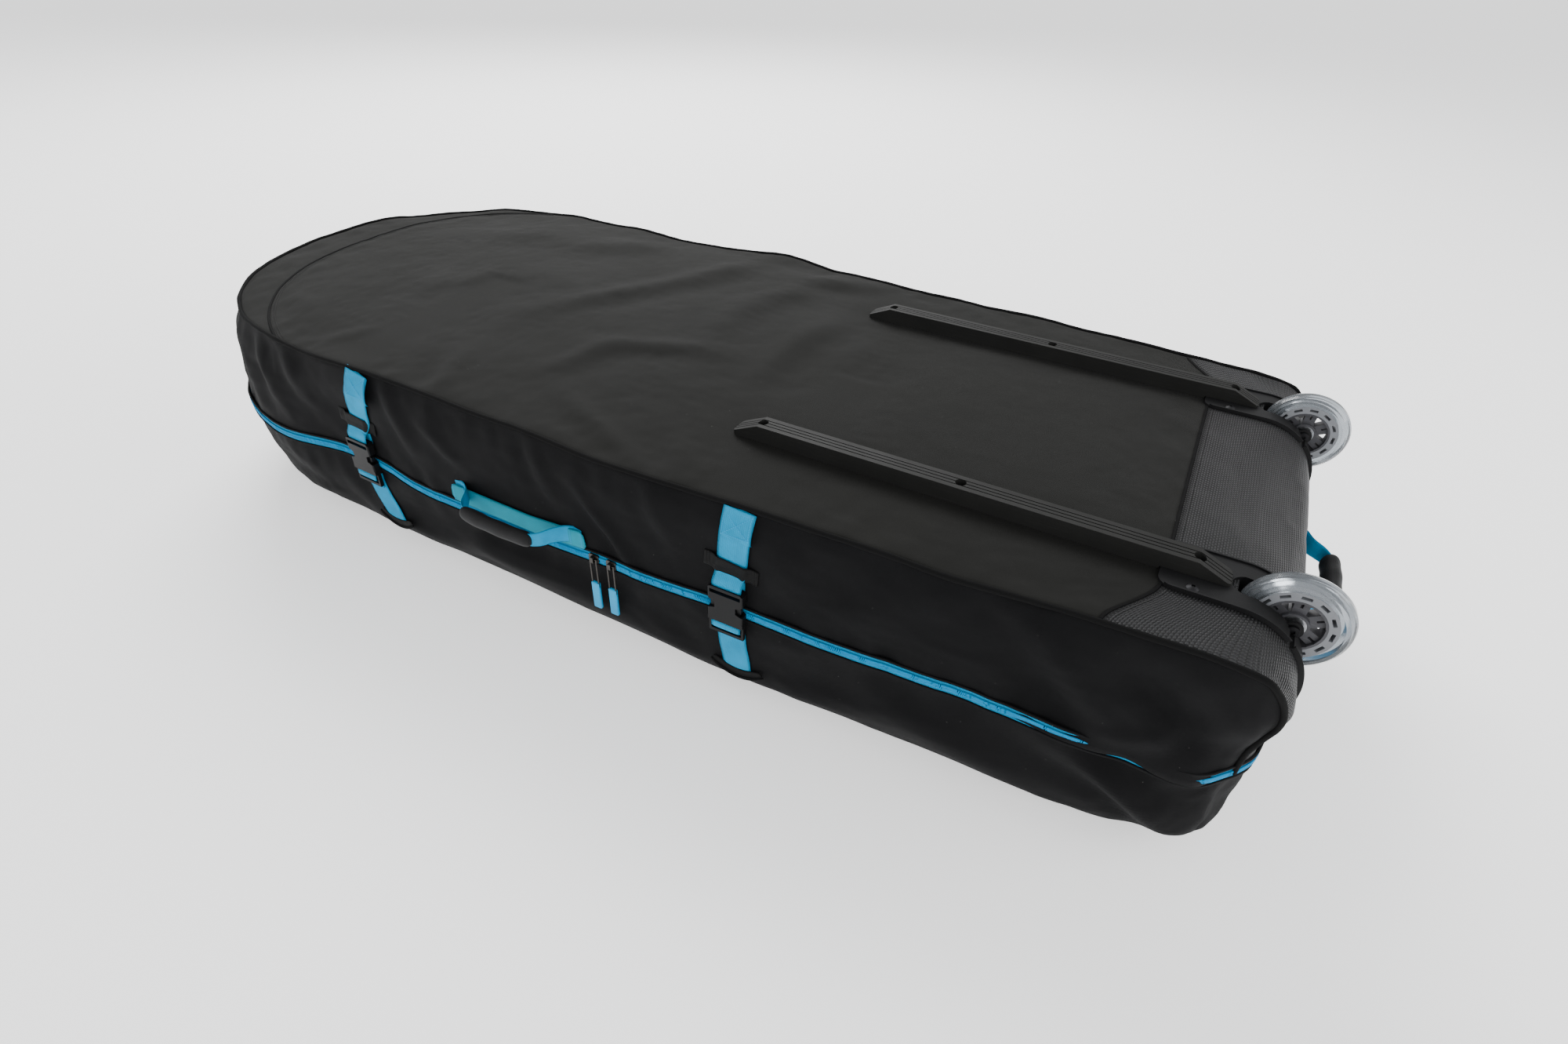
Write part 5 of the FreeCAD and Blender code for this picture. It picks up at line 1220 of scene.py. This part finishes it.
def make_zip(base_ring, lid_ring):
    """Tapes, coil, the cloth's folded edges along them, and the fabric hinge."""
    ring = (base_ring + lid_ring) / 2
    for half, sign in (("lid", 1), ("base", -1)):
        path = resample(curve_through(open_ring(ring), 3), PATH_STEP)
        outward = ring_normals(path)
        make_piece("zip_tape_%s_cloth" % half, half, "zip_blue", ("zip_tape_" + half,),
                   path + outward * 0.0006, outward,
                   band_section(TAPE_WIDE, 0.0012, 6) + np.array([sign * TAPE_MIDDLE, 0]), TAPE_BLUE)
        teeth = make_teeth("zip_coil_" + half, path, outward, 0.0 if sign > 0 else 0.5, sign)
        finish_piece(teeth, half, "zip_blue")
        swell = 1 + 0.15 * waviness(path, 0.06, 5 + sign, 2)
        make_piece("zip_edge_" + half, half, half + "_fabric", (),
                   path + outward * 0.0010 - np.array([0, 0, sign * EDGE_AWAY]), outward,
                   band_section(0.0036, 0.0030, 6), PAINTED_SHADE_WALL_CLOTH, swell)
    path = resample(far_ring(ring), PATH_STEP)
    outward = ring_normals(path)
    hinge = sweep("fabric_hinge_cloth", path + outward * 0.0012, outward, band_section(HINGE_WIDE, 0.0014, 12),
                  PAINTED_SHADE_WALL_CLOTH)
    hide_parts("fabric_hinge")
    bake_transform(hinge)


# ---------------------------------------------------------------- the near side's fittings

def near_point(place, along, out, level):
    """A point by its place on the near side: along it, out from the cloth, and its height."""
    slope = (place - BELLY_X) / math.sqrt(SIDE_RADIUS ** 2 - (place - BELLY_X) ** 2)
    turn = math.atan(slope)
    ahead = np.array([math.cos(turn), math.sin(turn), 0])
    outward = np.array([math.sin(turn), -math.cos(turn), 0])
    origin = np.array([place, -float(half_width(place)), 0])
    return origin + ahead * along + outward * out + np.array([0, 0, level])


def near_out(place):
    return near_point(place, 0, 1, 0) - near_point(place, 0, 0, 0)


def near_path(place, points, follow=True):
    """Given (along, out, height) points on the near side, moved with the settled cloth."""
    plain = np.array([near_point(place, *point) for point in points])
    if not follow:
        return plain
    surface = np.array([near_point(place, along, 0, level) for along, _, level in points])
    return plain + settle(surface) - surface


WEB_WIDE = 0.038
KEEPER_HALF = 0.034
KEEPER_SHIFT = 0.002
KEEPER_TILT = 0.0035
STRAP_LEAN = {name: [box_high("strap_%s_%s" % (half, name), "x") - place - 0.020 for half in ("upper", "lower")]
              for name, place in STRAPS.items()}


def strap_outward(path, outward):
    """Which way a looped strap's face looks: square to its path, in the plane that holds the path and outward."""
    across = unit(np.cross(outward, np.array([0, 0, 1.0])))
    return unit(np.cross(directions(path), across[None, :]))


def make_strap(name):
    """One closing strap: webbing through the buckle, keeper, lower webbing, its piped anchor and the buckle's loop."""
    place = STRAPS[name]
    lean, low_lean = STRAP_LEAN[name]
    top = box_high("buckle_socket_" + name, "z")
    low = box_low("buckle_tongue_" + name, "z")
    foot = box_middle("strap_anchor_" + name, "z")
    sewn = TOP - 0.003
    outward = near_out(place)
    wide_web = band_section(WEB_WIDE, 0.0016)

    def along(points, steps=8, follow=True):
        return curve_through(near_path(place, points, follow), steps)

    def web(piece, body, node, path, section, looped=False):
        make_piece(piece % name, body, "webbing_blue", [node + name] if node else [], path,
                   strap_outward(path, outward) if looped else outward, section, WEB_BLUE)

    web("strap_upper_%s_web", "base", "strap_upper_", along([
        (0.0, 0.0013, top + 0.016), (0.0, 0.0015, top + 0.002), (0.0, 0.0019, top - 0.0056),
        (0.0, 0.0062, top - 0.0070), (0.0, 0.0101, top - 0.0056), (0.0, 0.0106, top + 0.0010),
        (0.0008, 0.0100, top + 0.0080), (0.0020, 0.0060, top + 0.0180), (lean * 0.25, 0.0032, top + 0.034),
        (lean * 0.48, 0.0030, top + 0.058), (lean * 0.76, 0.0032, top + 0.082), (lean, 0.0012, sewn)]), wide_web, True)
    # the webbing's folded end, and its box stitch
    web("strap_end_%s", "base", None, along([
        (lean * 0.84, 0.0034, sewn - 0.037), (lean * 0.87, 0.0068, sewn - 0.032),
        (lean * 0.93, 0.0062, sewn - 0.016), (lean, 0.0036, sewn)]), band_section(WEB_WIDE, 0.0015))
    half = WEB_WIDE / 2 - 0.003
    marks = np.array([(-half, 0.004), (half, 0.004), (half, 0.030), (-half, 0.030)])
    steps = np.linspace(0, 1, 8)[:, None]
    rows = []
    for first, second in [(0, 1), (1, 2), (2, 3), (3, 0), (0, 2), (1, 3)]:
        line = marks[first] * (1 - steps) + marks[second] * steps
        rows.append(near_path(place, [(lean * (1 - 0.14 * down / 0.034) + side, 0.0044 + 0.0034 * float(
            smooth(down, 0.0, 0.016)), sewn - down) for side, down in line]))
    sew("strap_stitching_" + name, "base", "webbing_blue", rows, outward, THREAD_BLUE, *SMALL_STITCH)
    # keeper
    level = box_middle("strap_keeper_" + name, "z")
    path = along([(part * KEEPER_HALF + KEEPER_SHIFT, 0.0016 + 0.0042 * float(1 - smooth(abs(part), 0.52, 0.74)),
                   level - KEEPER_TILT * part) for part in np.linspace(-1, 1, 13)], 4)
    make_piece("strap_keeper_%s_tab" % name, "base", "webbing_black", ["strap_keeper_" + name], path, outward,
               band_section(0.021, 0.0014), WEB_BLACK)
    rows = [near_path(place, [(end * (KEEPER_HALF - inset) + KEEPER_SHIFT, 0.0024, level + rise - KEEPER_TILT * end)
                              for rise in (-0.009, 0.009)]) for end in (-1, 1) for inset in (0.0025, 0.0060)]
    sew("keeper_stitching_" + name, "base", "webbing_black", rows, outward, THREAD_BLACK, *SMALL_STITCH)
    # the lid's webbing, and the loop through the buckle's lower half
    web("strap_lower_%s_web", "lid", "strap_lower_", along([
        (0.0, 0.0014, low + 0.016), (0.001, 0.0014, low), (low_lean * 0.35, 0.0020, low - 0.022),
        (low_lean * 0.75, 0.0020, foot + 0.020), (low_lean, 0.0016, foot - 0.002)]), wide_web)
    web("strap_loop_%s_web", "tongue_" + name, "strap_loop_", along([
        (0.0, 0.0042, low - 0.0070), (0.0, 0.0042, low + 0.0020), (0.0, 0.0054, low + 0.0068),
        (0.0, 0.0092, low + 0.0078), (0.0, 0.0120, low + 0.0092), (0.0, 0.0124, low + 0.0125),
        (0.0, 0.0120, low + 0.0158), (0.0, 0.0090, low + 0.0172), (0.0, 0.0058, low + 0.0168),
        (0.0, 0.0044, low + 0.0140)], follow=False), band_section(WEB_WIDE, 0.0014), True)
    # the anchor's piping and tab run along one arc
    for piece, nodes, reach, out, rise, drop, section, material in (
            ("anchor_piping_" + name, [], 0.036, 0.0030, 0.006, 0.014, round_section(0.0026, 10), PIPING),
            ("strap_anchor_%s_tab" % name, ["strap_anchor_" + name], 0.033, 0.0024, 0.009, 0.0105,
             band_section(0.011, 0.0024), WEB_BLACK)):
        path = along([(low_lean + part * reach, out, foot + rise - drop * (1 - part ** 2))
                      for part in np.linspace(-1, 1, 15)], 4)
        ends = np.sqrt(np.clip(1 - np.abs(np.linspace(-1, 1, len(path))) ** 10, 0.15, 1))
        make_piece(piece, "lid", "webbing_black", nodes, path, outward, section, material, ends)


# ---------------------------------------------------------------- handles

HANDLE_WEB_HIGH = 0.025
GRIP_RADIUS = 0.0098


def make_loop(name, place_point, outward, half_grip, reach, level, span, fullness=1.0):
    """A handle: webbing ends that leave the base, turn out and go into a padded grip."""
    free = span - half_grip - 0.018
    for end in (-1, 1):
        route = [(span + 0.006, 0.0032), (span - 0.008, 0.0040), (span - 0.018, 0.0090),
                 (half_grip + 0.62 * free, reach * 0.45), (half_grip + 0.25 * free, reach * 0.80),
                 (half_grip - 0.004, reach - 0.001), (half_grip - 0.016, reach)]
        path = curve_through([place_point(end * along, out, level) for along, out in route], 8)
        face = unit(np.cross(directions(path), np.array([0, 0, 1.0])) * -end)
        size = np.interp(np.linspace(0, 1, len(path)), [0, 0.35, 0.8, 1.0], [1.0, 1.0, 0.78, 0.55])
        web = sweep("%s_webbing_%s" % (name, "front" if end < 0 else "rear"), path, face,
                    band_section(HANDLE_WEB_HIGH, 0.0018), WEB_BLUE, np.column_stack([size, np.ones(len(path))]))
        if end < 0:
            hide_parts(name + "_webbing")
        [tuple(place_point(end * span, out, level)) for out in (0.0036, 0.0140)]
        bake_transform(web)
    steps = np.linspace(-1, 1, 41)
    path = np.array([place_point(step * half_grip, reach - 0.001 + 0.0025 * (1 - step ** 2), level) for step in steps])
    angles = np.linspace(0, 2 * np.pi, 24, endpoint=False)
    radius = GRIP_RADIUS * fullness * (1 + 0.10 * np.cos(2 * angles) + 0.05 * bell(np.cos(angles - 4.4), 1, 0.12))
    section = np.column_stack([np.cos(angles) * radius, np.sin(angles) * radius * 0.92])
    ends = np.sqrt(np.clip(1 - np.abs(steps) ** 12 * 0.75, 0, 1)) * (1 + 0.03 * np.sin(steps * 9))
    grip = soften(sweep(name + "_grip_pad", path, outward, section, GRIP, ends))
    finish_piece(grip, name, "grip_black", name + "_grip")
    seam = path + np.array([0, 0, -0.0092]) + outward * 0.0030
    row = stitches(name + "_grip_seam", seam[2:-2], unit(np.array([0, 0, -1.0]) + outward * 0.3), THREAD_BLACK,
                   0.0034, 0.0026, 0.0005)
    finish_piece(row, name, "grip_black")


SEWN_SECTION = band_section(0.027, 0.0017)


def make_side_handle():
    """Carry handle on the near side."""
    outward = near_out(HANDLE_X)

    def at(along, out, level):
        return near_point(HANDLE_X, along, out, level)

    points = [(step * HANDLE_HALF, 0.0022, HANDLE_Z - 0.004 * (1 - step ** 2)) for step in np.linspace(-1, 1, 31)]
    path = curve_through(near_path(HANDLE_X, points), 3)
    ends = np.clip((1 - np.abs(np.linspace(-1, 1, len(path)))) * 14 + 0.45, 0, 1) ** 0.6
    make_piece("side_handle_base_web", "base", "webbing_blue", ["side_handle_base"], path, outward, SEWN_SECTION,
               WEB_TEAL, np.column_stack([ends, np.ones(len(path))]))
    reach = -box_middle("side_handle_grip", "y") - float(half_width(HANDLE_X))
    make_loop("side_handle", at, outward, box_half("side_handle_grip", "x"), reach, HANDLE_Z, 0.098)
    rows = [near_path(HANDLE_X, [(end * (HANDLE_HALF - inset), 0.0036, HANDLE_Z + rise) for rise in (-0.010, 0.010)])
            for end in (-1, 1) for inset in (0.004, 0.022)]
    sew("side_handle_stitching", "base", "webbing_blue", rows, outward, THREAD_BLUE, *SMALL_STITCH)


def make_tail_handle():
    """Handle across the tail wall."""
    outward = np.array([1.0, 0, 0])
    shift = tuck_tail(np.array([[TAIL, 0.0, TAIL_HANDLE_Z]]))[0][0] - TAIL

    def at(along, out, level):
        return np.array([TAIL + out + shift * float(1 - smooth(out, 0.004, 0.03)), along, level])

    tabs = []
    for end in (-1, 1):
        path = np.array([at(end * TAIL_TAB_Y + part * 0.020, 0.0018, TAIL_HANDLE_Z) for part in np.linspace(-1, 1, 9)])
        tabs.append(sweep("tab", path, outward, SEWN_SECTION, WEB_BLUE))
    finish_piece(merge("tail_handle_tabs_web", tabs), "base", "webbing_blue", "tail_handle_tabs")
    reach = box_middle("tail_handle_grip", "x") - TAIL
    make_loop("tail_handle", at, outward, box_half("tail_handle_grip", "y"), reach, TAIL_HANDLE_Z, TAIL_TAB_Y,
              fullness=1.25)


# ---------------------------------------------------------------- room, light and camera

CAMERA_PLACE = (0.6022, -0.9223, 0.7899)
CAMERA_RIGHT = (0.88061, 0.47255, 0.03511)
CAMERA_UP = (-0.30938, 0.51725, 0.79795)
CAMERA_AHEAD = (-0.35891, 0.71355, -0.60169)
CAMERA_LENS = 19.013
SENSOR_WIDE = 36.0
WORLD_LIGHT = 0.85
FLOOR_GLOW = 0.75


def make_floor():
    """A plain pale floor."""
    size = 30.0
    floor = add_mesh("floor", [(-size, -size, 0), (size, -size, 0), (size, size, 0), (-size, size, 0)], [(0, 1, 2, 3)])
    floor.location.z = -0.0005
    paint = Paint("floor_paint", (0.93, 0.93, 0.93), 0.9)
    paint.mix(paint.noise(0.6), (0.92, 0.92, 0.92, 1), (0.94, 0.94, 0.94, 1))
    paint.shader.inputs["Emission Color"].default_value = (1, 1, 1, 1)
    paint.shader.inputs["Emission Strength"].default_value = FLOOR_GLOW
    floor.data.materials.append(paint.material)


def add_light(name, place, target, size, power):
    data = bpy.data.lights.new(name, "AREA")
    data.shape = "RECTANGLE"
    data.size, data.size_y = size
    data.energy = power
    lamp = bpy.data.objects.new(name, data)
    lamp.location = place
    lamp.rotation_mode = "QUATERNION"
    lamp.rotation_quaternion = (Vector(target) - Vector(place)).to_track_quat("-Z", "Y")
    SCENE.collection.objects.link(lamp)


def make_room():
    """Soft studio light and the camera."""
    world = bpy.data.worlds.new("studio")
    world.use_nodes = True
    world.node_tree.nodes["Background"].inputs["Color"].default_value = (0.98, 0.99, 1.0, 1)
    world.node_tree.nodes["Background"].inputs["Strength"].default_value = WORLD_LIGHT
    SCENE.world = world
    add_light("window", (-2.2, 2.6, 3.2), (0.0, 0.0, 0.2), (3.0, 2.2), 240)
    add_light("front_fill", (2.4, -3.0, 2.2), (0.2, 0.0, 0.1), (3.0, 2.0), 46)
    add_light("tail_fill", (3.4, 0.6, 1.8), (0.5, 0.0, 0.2), (2.0, 1.6), 40)
    data = bpy.data.cameras.new("camera")
    data.lens = CAMERA_LENS
    data.sensor_width = SENSOR_WIDE
    data.clip_start = 0.05
    data.clip_end = 100
    camera = bpy.data.objects.new("camera", data)
    turn = Matrix((CAMERA_RIGHT, CAMERA_UP, tuple(-part for part in CAMERA_AHEAD))).transposed()
    camera.matrix_world = Matrix.Translation(CAMERA_PLACE) @ turn.to_4x4()
    SCENE.collection.objects.link(camera)
    SCENE.camera = camera


# ---------------------------------------------------------------- the bag

paint_nodes()
make_room()
make_floor()
base_cloth, base_paths = build_base()
lid_cloth, lid_paths = build_lid()
make_piping(base_cloth, base_paths)
make_zip(base_paths["zip"], lid_paths["zip"])
for strap_name in STRAPS:
    make_strap(strap_name)
make_side_handle()
make_tail_handle()
for shell in (base_cloth, lid_cloth):
    bpy.data.objects.remove(shell)
